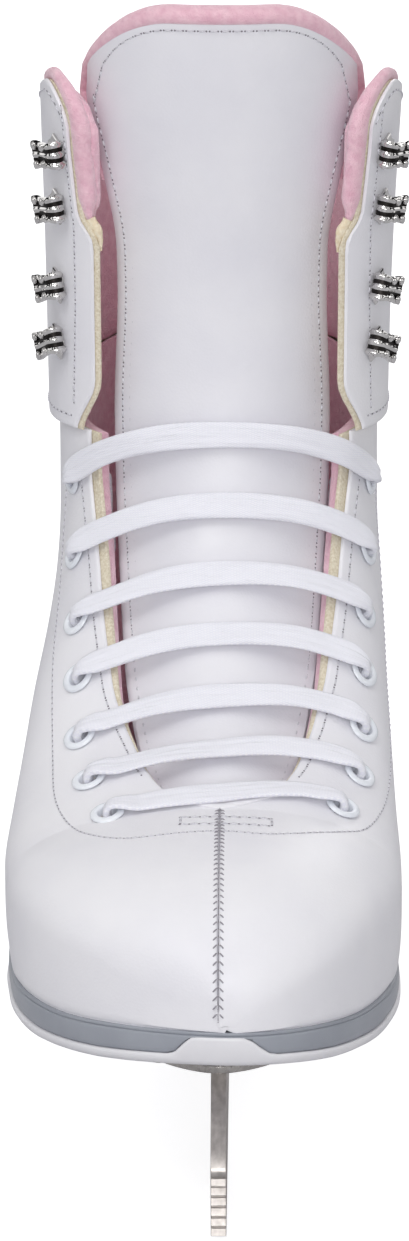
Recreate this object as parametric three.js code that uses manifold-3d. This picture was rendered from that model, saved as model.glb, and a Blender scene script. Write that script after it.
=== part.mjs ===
// A figure skate for the right foot: a padded lace-up boot on a moulded sole, with a screwed-on steel blade.
// Millimetres, +Z up. The toe points to -Y and the big-toe side is +X. The origin is the middle of the
// running edge.
import * as THREE from "three";
import { mergeVertices } from "three/addons/utils/BufferGeometryUtils.js";
import Module from "manifold-3d";

const wasm = await Module();
wasm.setup();

// ---------------------------------------------------------------- driving dimensions
const LATERAL = -1; // the little-toe side, at -X
const MEDIAL = 1; // the big-toe side, at +X
const SIDES = [
  [LATERAL, "lateral"],
  [MEDIAL, "medial"],
];
const GAP = 0.3; // clearance between touching pieces

// Depths are measured outwards from the boot's reference surface.
const UPPER_SKIN = [-2, 0];
const UPPER_LINING = [-6, -2.4];
const SEAM = 0.15; // half of the gap at the toe and back seams
const CUFF_SKIN = [0.8, 2.8];
const CUFF_LINING = [-5.4, 0.2];

const NOSE_LENGTH = 65; // from the first station to the toe tip
const NOSE_TIP = { x: 4, z: 63.5 };
const NOSE_PLAN_POWER = 1.75;
const NOSE_PROFILE_POWER = 2.4;
const RIDGE_LEAN = 0.3; // the instep is steeper on the big-toe side

// Cross-sections of the boot from the ball of the foot, round the heel, to the collar. Each lies in a plane
// through its ridge point (front) and its far point (sole or back): [ridge y, z, far y, z, lateral and medial
// half-width, place of the widest line from the far point as a share, squareness of the front half, squareness
// of the far half].
const STATIONS = [
  [-62, 98.4, -62, 36, 53.6, 45.9, 0.66, 2.2, 3.6],
  [-45, 104, -45, 37, 54.7, 45.9, 0.62, 2.15, 3.6],
  [-28, 112, -24, 44, 53.4, 45, 0.6, 2.1, 3.4],
  [-14, 123.5, 2, 52, 51.4, 44.2, 0.58, 2.1, 3.1],
  [-2, 136, 32, 62, 49, 43.2, 0.58, 2.1, 2.8],
  [9, 148, 66, 69, 46, 42.5, 0.6, 2.15, 2.5],
  [15.5, 159.5, 100, 72, 44, 41.8, 0.63, 2.2, 2.3],
  [19.5, 170, 131, 82, 43.2, 41.1, 0.63, 2.3, 2.3],
  [21.3, 181, 134, 104, 43.1, 40.9, 0.62, 2.4, 2.2],
  [21.8, 192, 131, 130, 43.2, 40.9, 0.6, 2.5, 2.15],
  [21.2, 203, 124.5, 157, 43.4, 41.1, 0.58, 2.6, 2.1],
  [20, 214, 119.5, 182, 43.6, 41.4, 0.56, 2.7, 2.1],
  [17.5, 228, 119, 205, 43.9, 42, 0.55, 2.8, 2.1],
  [14.2, 243, 121, 227, 44.3, 42.8, 0.55, 2.9, 2.1],
  [10.8, 258, 123, 246, 44.7, 43.7, 0.55, 3, 2.1],
  [7.3, 273, 125, 264, 45, 44.4, 0.55, 3, 2.1],
  [3.7, 290, 127, 282, 45.2, 44.9, 0.55, 3, 2.1],
];
const LAST_STATION = STATIONS.length - 1;

// Lines given as [y, z] points along the boot, read with rounded corners.
const SOLE_TOP = [
  [-140, 64.5],
  [-127, 62.2],
  [-100, 57.6],
  [-70, 56],
  [-45, 57.5],
  [-20, 63.5],
  [0, 70.5],
  [25, 79],
  [50, 86.5],
  [72, 91],
  [145, 91],
];
const SOLE_BOTTOM = [
  [-140, 56],
  [-127, 53.4],
  [-110, 49.4],
  [-90, 47],
  [-45, 47],
  [-20, 53],
  [0, 61],
  [25, 70.5],
  [50, 78],
  [72, 82.5],
  [145, 82.5],
];
const QUARTER_TOP = [
  [0, 170.5],
  [64, 171.5],
  [100, 176],
  [140, 178],
];
const CUFF_BOTTOM = [
  [0, 182],
  [20, 182],
  [33, 170.5],
  [60, 169.5],
  [100, 168],
  [140, 167],
];
const FLAP_LINING_BOTTOM = [
  [0, 183],
  [20, 183],
  [33, 173.8],
  [70, 173.8],
];
const COLLAR_TOP = [
  [0, 267],
  [34, 266.5],
  [62, 258],
  [95, 244],
  [140, 235],
];

// Half-widths against height of the ridge: the gap between the facings, and the front edges of the flaps.
const OPENING = [
  [98.7, 0],
  [99.2, 8],
  [100.5, 13],
  [105, 19.3],
  [112, 23.2],
  [122, 26.1],
  [140, 28.4],
  [155, 30],
  [171, 32],
];
const FLAP_EDGE = [
  [182, 35.5],
  [188, 30.6],
  [230, 30.8],
  [250, 33],
  [268, 35.6],
];
const FLAP_LINING_EDGE = 30.5;
const TONGUE_HALF_WIDTH = [
  [96, 12],
  [101, 14],
  [105, 17.5],
  [112, 21],
  [127, 24.5],
  [145, 26.3],
  [170, 28],
  [228, 29],
  [246, 33],
  [262, 37],
  [292, 37.5],
];
const THROAT_STATION = 0.12;
const TONGUE_TOP = 290;
const TONGUE_CORNER = 26;
const TONGUE = { edge: -6.9, crown: -1.6, skin: 1.5, pad: -12.5 };

// From the toe upwards: height of the ridge level with each eyelet, and its distance from the middle.
const EYELET_ROWS = [
  { lateral: [98.9, 28.2], medial: [101, 30.9] },
  { lateral: [104.8, 33.3], medial: [107.4, 35.2] },
  { lateral: [113.8, 36], medial: [116.3, 36.3] },
  { lateral: [127, 36.7], medial: [128.2, 36.5] },
  { lateral: [140, 37.4], medial: [140.9, 36.8] },
  { lateral: [156, 38.2], medial: [155.5, 37.7] },
  { lateral: [173.2, 39.2], medial: [173, 38.4] },
];
const EYELET = { hole: 2.5, barrel: 3.1, flange: 4.5, rise: 1.2, inner: -7 };

const HOOK_ROWS = [
  { height: 193, x: { lateral: 40, medial: 36.8 } },
  { height: 209, x: { lateral: 39.9, medial: 37.6 } },
  { height: 231.5, x: { lateral: 39.7, medial: 38.5 } },
  { height: 247, x: { lateral: 39.7, medial: 39.2 } },
];
const HOOK = { width: 7.6, base: 8, reach: 4.6, sheet: 1.1, rivet: 1.6, rivetHead: 3 };

const FLAP_HINGE_Y = 64;
const TONGUE_HINGE_Z = 181;

const RUNNER_THICKNESS = 3.9;
const ROCKER_RADIUS = 2134;
const RUNNER_FLAT = 6; // half-length of the flat middle of the running edge
const TEETH = 6;
const FOREFOOT_PLATE = { bottom: 44.3, top: 46.5 };
const HEEL_PLATE = { bottom: 41.3, top: 43.2 };
const HEEL_BLOCK_BOTTOM = 43.5;
const SCREW = { head: 4, headHeight: 1.5, shank: 2, length: 7.5 };

const COLOURS = {
  vinyl: 0xe6e5ea,
  plush: 0xe79ab4,
  counter: 0xb9a98c,
  board: 0x9b7d58,
  grey: 0x8b919b,
  white: 0xd8d7dc,
  steel: 0x9a9693,
  chrome: 0xc9c7c5,
  eyelet: 0xeef1f4,
  lace: 0xe9e8f3,
  tip: 0xdfe3e8,
};

// ---------------------------------------------------------------- small helpers
const lerp = (a, b, t) => a + (b - a) * t;
const clamp = (v, lo, hi) => Math.min(hi, Math.max(lo, v));
const smooth = (t) => clamp(t, 0, 1) ** 2 * (3 - 2 * clamp(t, 0, 1));

// A monotone-argument table read with straight stretches whose corners are rounded by averaging.
function along(table, at) {
  const straight = (v) => {
    if (v <= table[0][0]) return table[0][1];
    for (let i = 1; i < table.length; i++) {
      const [x0, y0] = table[i - 1];
      const [x1, y1] = table[i];
      if (v <= x1) return lerp(y0, y1, (v - x0) / (x1 - x0));
    }
    return table[table.length - 1][1];
  };
  const spread = (table[table.length - 1][0] - table[0][0]) / 45;
  return (straight(at - spread) + 2 * straight(at) + straight(at + spread)) / 4;
}

// The station values at a fractional place, by a Catmull-Rom curve.
function station(s) {
  const i = clamp(Math.floor(s), 0, LAST_STATION - 1);
  const t = s - i;
  const pick = (k) => STATIONS[clamp(k, 0, LAST_STATION)];
  return STATIONS[0].map((_, c) => {
    const [a, b, d, e] = [pick(i - 1)[c], pick(i)[c], pick(i + 1)[c], pick(i + 2)[c]];
    return b + 0.5 * t * (d - a + t * (2 * a - 5 * b + 4 * d - e + t * (3 * (b - d) + e - a)));
  });
}

// Root of a function that falls from above zero to below it.
function solve(f, lo, hi) {
  for (let i = 0; i < 40; i++) {
    const mid = (lo + hi) / 2;
    if (f(mid) > 0) lo = mid;
    else hi = mid;
  }
  return (lo + hi) / 2;
}

// ---------------------------------------------------------------- the boot's reference surface
// side is LATERAL or MEDIAL. s runs from -1 at the toe tip, through 0 at the ball, to the collar. b runs round
// one side: 0 on the ridge at the front, 0.5 on the widest line, 1 on the sole or back seam.
function boot(side, s, b, depth) {
  const nose = s < 0 ? Math.sin((-s * Math.PI) / 2) : 0;
  const narrow = (1 - nose ** NOSE_PLAN_POWER) ** (1 / NOSE_PLAN_POWER);
  const low = (1 - nose ** NOSE_PROFILE_POWER) ** (1 / NOSE_PROFILE_POWER);
  const [ry, rz, fy, fz, wl, wm, share, front, far] = station(Math.max(s, 0));
  const height = Math.hypot(ry - fy, rz - fz);
  const up = [(ry - fy) / height, (rz - fz) / height];
  const centre = [lerp(fy, ry, share), lerp(fz, rz, share)];
  const angle = Math.PI * b;
  const lean = side * RIDGE_LEAN * smooth(s / 3) * (1 - smooth((s - 6) / 3));
  const power = 2 / (b < 0.5 ? front + lean : far);
  const across = (side === LATERAL ? wl : wm) + depth;
  const reach = height * (b < 0.5 ? 1 - share : share) + depth;
  const v = Math.sign(Math.cos(angle)) * Math.abs(Math.cos(angle)) ** power * reach;
  const round = Math.abs(Math.sin(angle));
  const x = side * round ** power * across;
  const z = centre[1] + up[1] * v;
  return new THREE.Vector3(
    x * narrow + NOSE_TIP.x * round * nose ** 3,
    centre[0] + up[0] * v - (NOSE_LENGTH + depth) * nose,
    lerp(NOSE_TIP.z, z, low),
  );
}

// The outward normal of the reference surface.
function normal(side, s, b) {
  const step = 0.01;
  const ds = boot(side, s + step, b, 0).sub(boot(side, s - step, b, 0));
  const db = boot(side, s, b + step, 0).sub(boot(side, s, b - step, 0));
  const n = ds.cross(db).normalize();
  const away = boot(side, s, b, 1).sub(boot(side, s, b, 0));
  return n.dot(away) < 0 ? n.negate() : n;
}

// b on the front half where the surface is a given distance from the middle plane.
const atWidth = (side, s, x, depth = 0) => solve((b) => x - Math.abs(boot(side, s, b, depth).x), 0, 0.5);

const ridgeStation = (z) => solve((s) => z - boot(LATERAL, s, 0, 0).z, 0, LAST_STATION);

// b where the surface meets the top of the sole, or 1 above the heel.
function atSole(side, s, depth = 0, lift = 0) {
  const above = (b) => {
    const p = boot(side, s, b, depth);
    return p.z - along(SOLE_TOP, p.y) - lift;
  };
  return above(1) > 0 ? 1 : solve(above, 0.5, 1);
}

// b of the facing's edge: on the ridge over the toe, and at the lace opening's edge above the throat.
const edgeAt = (side, s, table) => atWidth(side, s, along(table, boot(side, s, 0, 0).z));
const facingEdge = (side, s) => (s <= THROAT_STATION ? 0 : edgeAt(side, s, OPENING));

// s where the surface crosses a [y, z] line, going up from below.
function atLine(side, bOf, line, from, to = LAST_STATION) {
  return solve(
    (s) => {
      const p = boot(side, s, bOf(s), 0);
      return along(line, p.y) - p.z;
    },
    from,
    to,
  );
}

// b where a section passes a given y, between the ridge and the back.
const atY = (side, s, y) => solve((b) => y - boot(side, s, b, 0).y, 0.02, 0.98);

// ---------------------------------------------------------------- building closed meshes
function geometryOf(triangles) {
  const flat = new Float32Array(triangles.length * 9);
  triangles.forEach((t, i) => t.forEach((p, k) => flat.set([p.x, p.y, p.z], i * 9 + k * 3)));
  return new THREE.BufferGeometry().setAttribute("position", new THREE.BufferAttribute(flat, 3));
}

// Vertices merged, collapsed triangles dropped, faces turned outwards.
function closed(geometry) {
  const bare = geometry.index ? geometry.toNonIndexed() : geometry.clone();
  bare.deleteAttribute("normal");
  bare.deleteAttribute("uv");
  const merged = mergeVertices(bare, 1e-3);
  const { array } = merged.index;
  const { array: at } = merged.attributes.position;
  const kept = [];
  let volume = 0;
  for (let i = 0; i < array.length; i += 3) {
    const [a, b, c] = [array[i], array[i + 1], array[i + 2]];
    if (a === b || b === c || a === c) continue;
    kept.push([a, b, c]);
    const [p, q, r] = [a, b, c].map((k) => new THREE.Vector3().fromArray(at, 3 * k));
    volume += p.dot(q.cross(r));
  }
  merged.setIndex((volume < 0 ? kept.map(([a, b, c]) => [a, c, b]) : kept).flat());
  return merged;
}

function solid(geometry) {
  const made = closed(geometry);
  return new wasm.Manifold(
    new wasm.Mesh({
      numProp: 3,
      vertProperties: made.attributes.position.array,
      triVerts: new Uint32Array(made.index.array),
    }),
  );
}

// Booleans leave slivers along a cut, so vertices closer than a hundredth of a millimetre are joined.
function fromSolid(body) {
  const mesh = body.asOriginal().simplify(0.01).getMesh();
  return new THREE.BufferGeometry()
    .setAttribute("position", new THREE.BufferAttribute(new Float32Array(mesh.vertProperties), 3))
    .setIndex(new THREE.BufferAttribute(new Uint32Array(mesh.triVerts), 1));
}

const cut = (geometry, cutters) =>
  fromSolid(cutters.reduce((body, cutter) => body.subtract(solid(cutter)), solid(geometry)));

// A closed shell between an outer and an inner grid of points, rows by columns. Each cell is split along its
// shorter diagonal.
function shell(outer, inner) {
  const triangles = [];
  const quad = (a, b, c, d) => {
    if (a.distanceTo(c) <= b.distanceTo(d)) triangles.push([a, b, c], [a, c, d]);
    else triangles.push([a, b, d], [b, c, d]);
  };
  const rows = outer.length - 1;
  const columns = outer[0].length - 1;
  for (let i = 0; i < rows; i++)
    for (let j = 0; j < columns; j++) {
      quad(outer[i][j], outer[i][j + 1], outer[i + 1][j + 1], outer[i + 1][j]);
      quad(inner[i][j], inner[i + 1][j], inner[i + 1][j + 1], inner[i][j + 1]);
    }
  for (let j = 0; j < columns; j++) {
    quad(outer[0][j], inner[0][j], inner[0][j + 1], outer[0][j + 1]);
    quad(outer[rows][j], outer[rows][j + 1], inner[rows][j + 1], inner[rows][j]);
  }
  for (let i = 0; i < rows; i++) {
    quad(outer[i][0], outer[i + 1][0], inner[i + 1][0], inner[i][0]);
    quad(outer[i][columns], inner[i][columns], inner[i + 1][columns], outer[i + 1][columns]);
  }
  return geometryOf(triangles);
}

const grid = (rows, columns, at) =>
  Array.from({ length: rows + 1 }, (_, i) =>
    Array.from({ length: columns + 1 }, (_, j) => at(i / rows, j / columns, i, j)),
  );

// A cylinder, cone or lathe along +Y of its own, turned to an axis and moved to a point.
function aimed(geometry, point, axis) {
  const turn = new THREE.Quaternion().setFromUnitVectors(new THREE.Vector3(0, 1, 0), axis);
  return geometry.applyQuaternion(turn).translate(point.x, point.y, point.z);
}

const rod = (radius, from, to, sides = 8) =>
  aimed(
    new THREE.CylinderGeometry(radius, radius, from.distanceTo(to), sides),
    from.clone().add(to).multiplyScalar(0.5),
    to.clone().sub(from).normalize(),
  );

// ---------------------------------------------------------------- the group
const skate = new THREE.Group();

function add(name, geometry, colour, roughness = 0.5, metalness = 0) {
  const material = new THREE.MeshStandardMaterial({ color: colour, roughness, metalness });
  const mesh = new THREE.Mesh(closed(geometry), material);
  mesh.name = name;
  skate.add(mesh);
  return mesh;
}

// ---------------------------------------------------------------- eyelets and hooks: where they sit
const eyelets = EYELET_ROWS.flatMap((places, row) =>
  SIDES.map(([side, word]) => {
    const [ridgeZ, x] = places[word];
    const s = ridgeStation(ridgeZ);
    const b = atWidth(side, s, x);
    return { side, word, row, s, b, point: boot(side, s, b, 0), out: normal(side, s, b) };
  }),
);

const hooks = HOOK_ROWS.flatMap(({ height, x }, row) =>
  SIDES.map(([side, word]) => {
    const bOf = (s) => atWidth(side, s, x[word]);
    const s = solve((t) => height - boot(side, t, bOf(t), 0).z, 8, LAST_STATION);
    const b = bOf(s);
    return { side, word, row, s, b, point: boot(side, s, b, CUFF_SKIN[1]), out: normal(side, s, b) };
  }),
);

const holeThrough = ({ point, out }, radius, inwards, outwards) =>
  rod(radius, point.clone().addScaledVector(out, -inwards), point.clone().addScaledVector(out, outwards));

// ---------------------------------------------------------------- foot: upper, lining and stiffeners
const NOSE_ROWS = [-1, -0.86, -0.7, -0.52, -0.32, -0.15];
const SOLE_GAP = 2 * GAP;
const heelClearance = (s) => boot(LATERAL, s, 1, 0).z - along(SOLE_TOP, boot(LATERAL, s, 1, 0).y) - SOLE_GAP;
const HEEL_STATION = solve((s) => -heelClearance(s), 6, 9);
const FOOT_ROWS = [THROAT_STATION, 0.2, 0.35, 0.6, 1, 2, 3, 4, 5, 6, 6.7, 7.15, 7.4, HEEL_STATION + 0.01];
const ANKLE_ROWS = 4;
const FOOT_COLUMNS = 9;
const fixedRows = [...NOSE_ROWS, ...FOOT_ROWS];
const footRows = fixedRows.length - 1 + ANKLE_ROWS;

// Stiffeners lie in recesses of the lining, on rows and columns of the same net.
const COUNTER = { rows: [20, 22], firstColumn: 5, depths: [-4.1, -2.5] };
const TOE_PUFF = { rows: [1, 3], firstColumn: 0, depths: [-3.7, -2.5] };
const inNet = ({ rows, firstColumn }, i, j) => i >= rows[0] && i <= rows[1] && j >= firstColumn;

// The net that the foot's pieces share: i rows from the toe tip to the ankle, j columns from facing to sole.
function footNet(side, i, j) {
  const across = (s) => lerp(facingEdge(side, s), atSole(side, s, 0, SOLE_GAP), j / FOOT_COLUMNS);
  if (i < fixedRows.length) return [fixedRows[i], across(fixedRows[i])];
  const last = fixedRows[fixedRows.length - 1];
  const end = atLine(side, across, QUARTER_TOP, last);
  const s = lerp(last, end, (i - fixedRows.length + 1) / ANKLE_ROWS);
  return [s, across(s)];
}

function footPanel(side, depths) {
  const layer = (which) =>
    grid(footRows, FOOT_COLUMNS, (u, v, i, j) => {
      const p = boot(side, ...footNet(side, i, j), depths(i, j)[which]);
      p.x += side * SEAM;
      return p;
    });
  return shell(layer(1), layer(0));
}

// A stiffener, in one piece across the toe or the heel.
function stiffener({ rows, firstColumn, depths }, centreColumn) {
  const count = FOOT_COLUMNS - firstColumn;
  const layer = (which) =>
    grid(rows[1] - rows[0], 2 * count, (u, v, i, j) => {
      const side = j < count ? LATERAL : MEDIAL;
      const steps = Math.abs(j - count);
      const column = centreColumn ? centreColumn - steps : steps;
      return boot(side, ...footNet(side, i + rows[0], column), depths[which]);
    });
  return shell(layer(1), layer(0));
}

for (const [side, word] of SIDES) {
  const own = eyelets.filter((e) => e.side === side);
  const holes = () => own.map((e) => holeThrough(e, EYELET.barrel + 2 * GAP, 12, 4));
  add(`upper_${word}`, cut(footPanel(side, () => UPPER_SKIN), holes()), COLOURS.vinyl);
  const lining = footPanel(side, (i, j) => {
    const piece = [COUNTER, TOE_PUFF].find((p) => inNet(p, i, j));
    return piece ? [UPPER_LINING[0], piece.depths[0] - 0.5] : UPPER_LINING;
  });
  add(`lining_${word}`, cut(lining, holes()), COLOURS.plush, 0.95);
}
add("heel_counter", stiffener(COUNTER, FOOT_COLUMNS), COLOURS.counter, 0.8);
add("toe_puff", stiffener(TOE_PUFF, 0), COLOURS.counter, 0.8);

// ---------------------------------------------------------------- cuff round the back, flaps with the hooks
const CUFF_ROWS = 8;
const FLAP_COLUMNS = 5;
const CUFF_COLUMNS = 6;
const FLAP_CORNER = 14;

// The height line of the collar, rounded off towards a flap's front edge.
function collarStation(side, bOf, edgeOf) {
  const high = atLine(side, bOf, COLLAR_TOP, 11);
  const fromEdge = boot(side, high, bOf(high), 0).distanceTo(boot(side, high, edgeOf(high), 0));
  const inset = clamp(1 - fromEdge / FLAP_CORNER, 0, 1);
  return high - ((1 - Math.sqrt(1 - inset ** 2)) * FLAP_CORNER) / 16;
}

function flapPanel(side, depths, edgeOf, bottom) {
  const backEdge = (s) => atY(side, s, FLAP_HINGE_Y - GAP);
  const layer = (which) =>
    grid(CUFF_ROWS, FLAP_COLUMNS, (u, v) => {
      const across = (s) => lerp(edgeOf(s), backEdge(s), v);
      const low = atLine(side, across, bottom, 6.5, 14);
      const s = lerp(low, collarStation(side, across, edgeOf), u);
      return boot(side, s, across(s), depths[which]);
    });
  return shell(layer(1), layer(0));
}

function cuffPanel(depths, bottom, lift) {
  const layer = (which) =>
    grid(CUFF_ROWS, 2 * CUFF_COLUMNS, (u, v, i, j) => {
      const side = j < CUFF_COLUMNS ? LATERAL : MEDIAL;
      const frontness = Math.abs(j - CUFF_COLUMNS) / CUFF_COLUMNS;
      const across = (s) => lerp(1, atY(side, s, FLAP_HINGE_Y + GAP), frontness);
      const low = atLine(side, across, bottom, 6.5, 14) + lift;
      const s = lerp(low, atLine(side, across, COLLAR_TOP, 11), u);
      return boot(side, s, across(s), depths[which]);
    });
  return shell(layer(1), layer(0));
}

add("cuff", cuffPanel(CUFF_SKIN, CUFF_BOTTOM, 0), COLOURS.vinyl);
add("cuff_lining", cuffPanel(CUFF_LINING, QUARTER_TOP, 0.12), COLOURS.plush, 0.95);
for (const [side, word] of SIDES) {
  const own = hooks.filter((h) => h.side === side);
  const holes = () => own.map((h) => holeThrough(h, HOOK.rivet + GAP, 14, 4));
  const leatherEdge = (s) => edgeAt(side, s, FLAP_EDGE);
  const plushEdge = (s) => atWidth(side, s, FLAP_LINING_EDGE);
  add(`flap_${word}`, cut(flapPanel(side, CUFF_SKIN, leatherEdge, CUFF_BOTTOM), holes()), COLOURS.vinyl);
  const lining = flapPanel(side, CUFF_LINING, plushEdge, FLAP_LINING_BOTTOM);
  add(`flap_lining_${word}`, cut(lining, holes()), COLOURS.plush, 0.95);
}

// ---------------------------------------------------------------- tongue, in two lengths
const TONGUE_COLUMNS = 6;

function tonguePanel(fromZ, toZ, rows, isPad) {
  const layer = (which) =>
    grid(rows, 2 * TONGUE_COLUMNS, (u, v, i, j) => {
      const side = j < TONGUE_COLUMNS ? LATERAL : MEDIAL;
      const share = Math.abs(j - TONGUE_COLUMNS) / TONGUE_COLUMNS;
      const halfWidth = (z) => share * along(TONGUE_HALF_WIDTH, z);
      const fromSide = along(TONGUE_HALF_WIDTH, TONGUE_TOP) - halfWidth(TONGUE_TOP);
      const corner = clamp(1 - fromSide / TONGUE_CORNER, 0, 1);
      const drop = toZ === TONGUE_TOP ? TONGUE_CORNER * (1 - Math.sqrt(1 - corner ** 2)) : 0;
      const z = lerp(fromZ, toZ - drop, u);
      const s = ridgeStation(z);
      const crowned = smooth((s - 0.3) / 1.2) * Math.cos((Math.PI / 2) * share) ** 2;
      const face = lerp(TONGUE.edge, TONGUE.crown, crowned);
      const outer = isPad ? face - TONGUE.skin - 0.4 : face;
      const inner = isPad ? TONGUE.pad : face - TONGUE.skin;
      return boot(side, s, atWidth(side, s, halfWidth(z), TONGUE.edge), which ? outer : inner);
    });
  return shell(layer(1), layer(0));
}

for (const [name, isPad, colour] of [
  ["tongue", false, COLOURS.vinyl],
  ["tongue_pad", true, COLOURS.plush],
]) {
  add(`${name}_lower`, tonguePanel(97, TONGUE_HINGE_Z - GAP, 9, isPad), colour, isPad ? 0.95 : 0.5);
  add(`${name}_upper`, tonguePanel(TONGUE_HINGE_Z + GAP, TONGUE_TOP, 9, isPad), colour, isPad ? 0.95 : 0.5);
}

// ---------------------------------------------------------------- eyelets and hooks
const lathe = (points, sides) =>
  new THREE.LatheGeometry(
    points.map(([x, y]) => new THREE.Vector2(x, y)),
    sides,
  );

for (const { word, row, point, out } of eyelets) {
  const { hole, barrel, flange, rise, inner } = EYELET;
  const ring = lathe(
    [
      [hole, inner],
      [barrel, inner],
      [barrel, rise - 0.5],
      [flange, rise - 0.5],
      [flange - 0.4, rise],
      [hole + 0.5, rise + 0.2],
      [hole, rise - 0.4],
      [hole, inner],
    ],
    12,
  );
  add(`eyelet_${word}_${row + 1}`, aimed(ring, point, out), COLOURS.eyelet, 0.25, 0.1);
}

for (const { side, word, row, s, b, point, out } of hooks) {
  const forward = boot(side, s, b - 0.01, 0).sub(boot(side, s, b, 0)).normalize();
  const across = forward.clone().cross(out).normalize();
  const frame = new THREE.Matrix4().makeBasis(forward, out, across).setPosition(point);
  const { width, base, reach, sheet, rivet, rivetHead } = HOOK;
  const outline = new THREE.Shape();
  outline.moveTo(-base / 2, GAP);
  outline.lineTo(base / 2 - 1, GAP);
  outline.absarc(base / 2 - 1, GAP + reach / 2, reach / 2, -Math.PI / 2, Math.PI / 2);
  outline.lineTo(-base / 2 + 2, GAP + reach);
  outline.lineTo(-base / 2, GAP + reach + 1);
  outline.lineTo(-base / 2, GAP + reach - sheet + 0.8);
  outline.lineTo(-base / 2 + 2, GAP + reach - sheet);
  outline.absarc(base / 2 - 1, GAP + reach / 2, reach / 2 - sheet, Math.PI / 2, -Math.PI / 2, true);
  outline.lineTo(-base / 2, GAP + sheet);
  const bent = new THREE.ExtrudeGeometry(outline, { depth: width, bevelEnabled: false, curveSegments: 5 });
  bent.translate(0, 0, -width / 2).applyMatrix4(frame);
  const inside = CUFF_LINING[0] - CUFF_SKIN[1];
  const stem = lathe(
    [
      [0, inside - 2],
      [rivetHead, inside - 2],
      [rivetHead, inside - 1.2],
      [rivet, inside - 1.2],
      [rivet, GAP + sheet / 2],
      [0, GAP + sheet / 2],
    ],
    8,
  ).applyMatrix4(frame);
  add(`hook_${word}_${row + 1}`, fromSolid(solid(bent).add(solid(stem))), COLOURS.chrome, 0.15, 1);
}

// ---------------------------------------------------------------- lace
// Straight bars outside, runs from eyelet to eyelet inside, and both ends tucked in along the footbed.
const LACE_ORDER = [
  [MEDIAL, 1],
  [LATERAL, 1],
  [LATERAL, 3],
  [MEDIAL, 3],
  [MEDIAL, 5],
  [LATERAL, 5],
  [LATERAL, 6],
  [MEDIAL, 6],
  [MEDIAL, 4],
  [LATERAL, 4],
  [LATERAL, 2],
  [MEDIAL, 2],
  [MEDIAL, 0],
  [LATERAL, 0],
];
// How far a run is moved aside where it passes the eyelet between its own two, away from the tongue if
// positive.
const RUN_ASIDE = { "-1:2": 5, "-1:3": -4.2, "1:4": 5, "1:5": -3.6, "1:1": 5 };
const FLAT = [3.4, 0.75]; // half-width and half-thickness of the lace lying flat
const FOLDED = [1.8, 1.2]; // in an eyelet
const NARROW = [2.2, 0.8]; // on a run
const TIPPED = [1.4, 1];
const AGLET = { radius: 1.5, length: 18 };
const FOOTBED_TOP = 6; // above the sole

// Down from the eyelet and along the footbed: [x, y] with z where the lace isn't lying down yet.
const TAILS = {
  medial: [
    [29.5, -36, 85],
    [30, -38, 75],
    [30, -44, 68.5],
    [29, -56],
    [27, -68],
    [23, -76],
    [17, -76],
    [14.5, -67],
    [15, -48],
    [17, -24],
    [17.5, 0],
    [17.5, 25],
    [17.5, 50],
    [17, 72],
    [15, 84],
    [11, 88],
    [7.5, 84],
    [6.5, 70],
    [6, 45],
    [6, 20],
    [6, -5],
    [6, -30],
    [6, -52],
    [6, -66],
  ],
  lateral: [
    [-24, -57, 83],
    [-26.5, -56, 73],
    [-28.5, -58, 66],
    [-29, -66],
    [-26, -76],
    [-20, -76],
    [-17.5, -67],
    [-18, -48],
    [-19, -24],
    [-18.5, 0],
    [-18, 25],
    [-18, 50],
    [-17.5, 72],
    [-15.5, 84],
    [-11.5, 88],
    [-8, 84],
    [-7, 70],
    [-6.5, 45],
    [-6.5, 20],
    [-6.5, -5],
    [-6.5, -30],
    [-6.5, -52],
    [-6.5, -66],
  ],
};

const soleTop = (y) => along(SOLE_TOP, y);
const soleBottom = (y) => along(SOLE_BOTTOM, y);
const ACROSS = new THREE.Vector3(1, 0, 0);

const upTheBoot = (side, s, b) => boot(side, s + 0.1, b, 0).sub(boot(side, s - 0.1, b, 0)).normalize();
const roundTheBoot = (side, s, b) => boot(side, s, b + 0.01, 0).sub(boot(side, s, b - 0.01, 0)).normalize();
const knot = (at, wide, size) => ({ at, wide, size });

// From outside the boot to inside it, through one eyelet, heading up (1) or down (-1) the boot inside.
function throughEyelet({ side, s, b, point, out }, heading) {
  const wide = upTheBoot(side, s, b);
  const round = roundTheBoot(side, s, b);
  const near = (inwards, depth, size) =>
    knot(point.clone().addScaledVector(out, depth).addScaledVector(round, -inwards), wide, size);
  return [
    near(6.3, 2.2, FLAT),
    near(3.7, 2.9, [2.7, 0.9]),
    near(1.2, 2.9, [2, 1]),
    near(0, 1.4, FOLDED),
    near(0, -3, FOLDED),
    near(0, -7.9, FOLDED),
    knot(point.clone().addScaledVector(out, -9.7).addScaledVector(wide, 3 * heading), round, NARROW),
  ];
}

// The part of a bar between its two eyelets, over the tongue.
function acrossTheFront(from, to) {
  const [left, right] = from.side === LATERAL ? [from, to] : [to, from];
  const reach = Math.min(-left.point.x, right.point.x) - 8;
  const middle = [-1, -0.66, -0.33, 0, 0.33, 0.66, 1].map((share) => {
    const s = lerp(left.s, right.s, (share + 1) / 2);
    const side = share < 0 ? LATERAL : MEDIAL;
    const b = atWidth(side, s, Math.abs(share) * reach);
    return knot(boot(side, s, b, 1.4 + 0.5 * Math.abs(share)), upTheBoot(side, s, b), FLAT);
  });
  return from === left ? middle : middle.reverse();
}

// Inside, between two eyelets of one side, past the one between them.
function inside(from, to) {
  const { side } = from;
  const passed = eyelets.find((e) => e.side === side && e.row === (from.row + to.row) / 2);
  if (passed) {
    const round = roundTheBoot(side, passed.s, passed.b);
    const at = passed.point.clone().addScaledVector(passed.out, -9.3);
    return [knot(at.addScaledVector(round, RUN_ASIDE[`${side}:${passed.row}`]), round, NARROW)];
  }
  const [s, b] = [(from.s + to.s) / 2, (from.b + to.b) / 2];
  return [knot(boot(side, s, b, -9.3), roundTheBoot(side, s, b), NARROW)];
}

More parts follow.
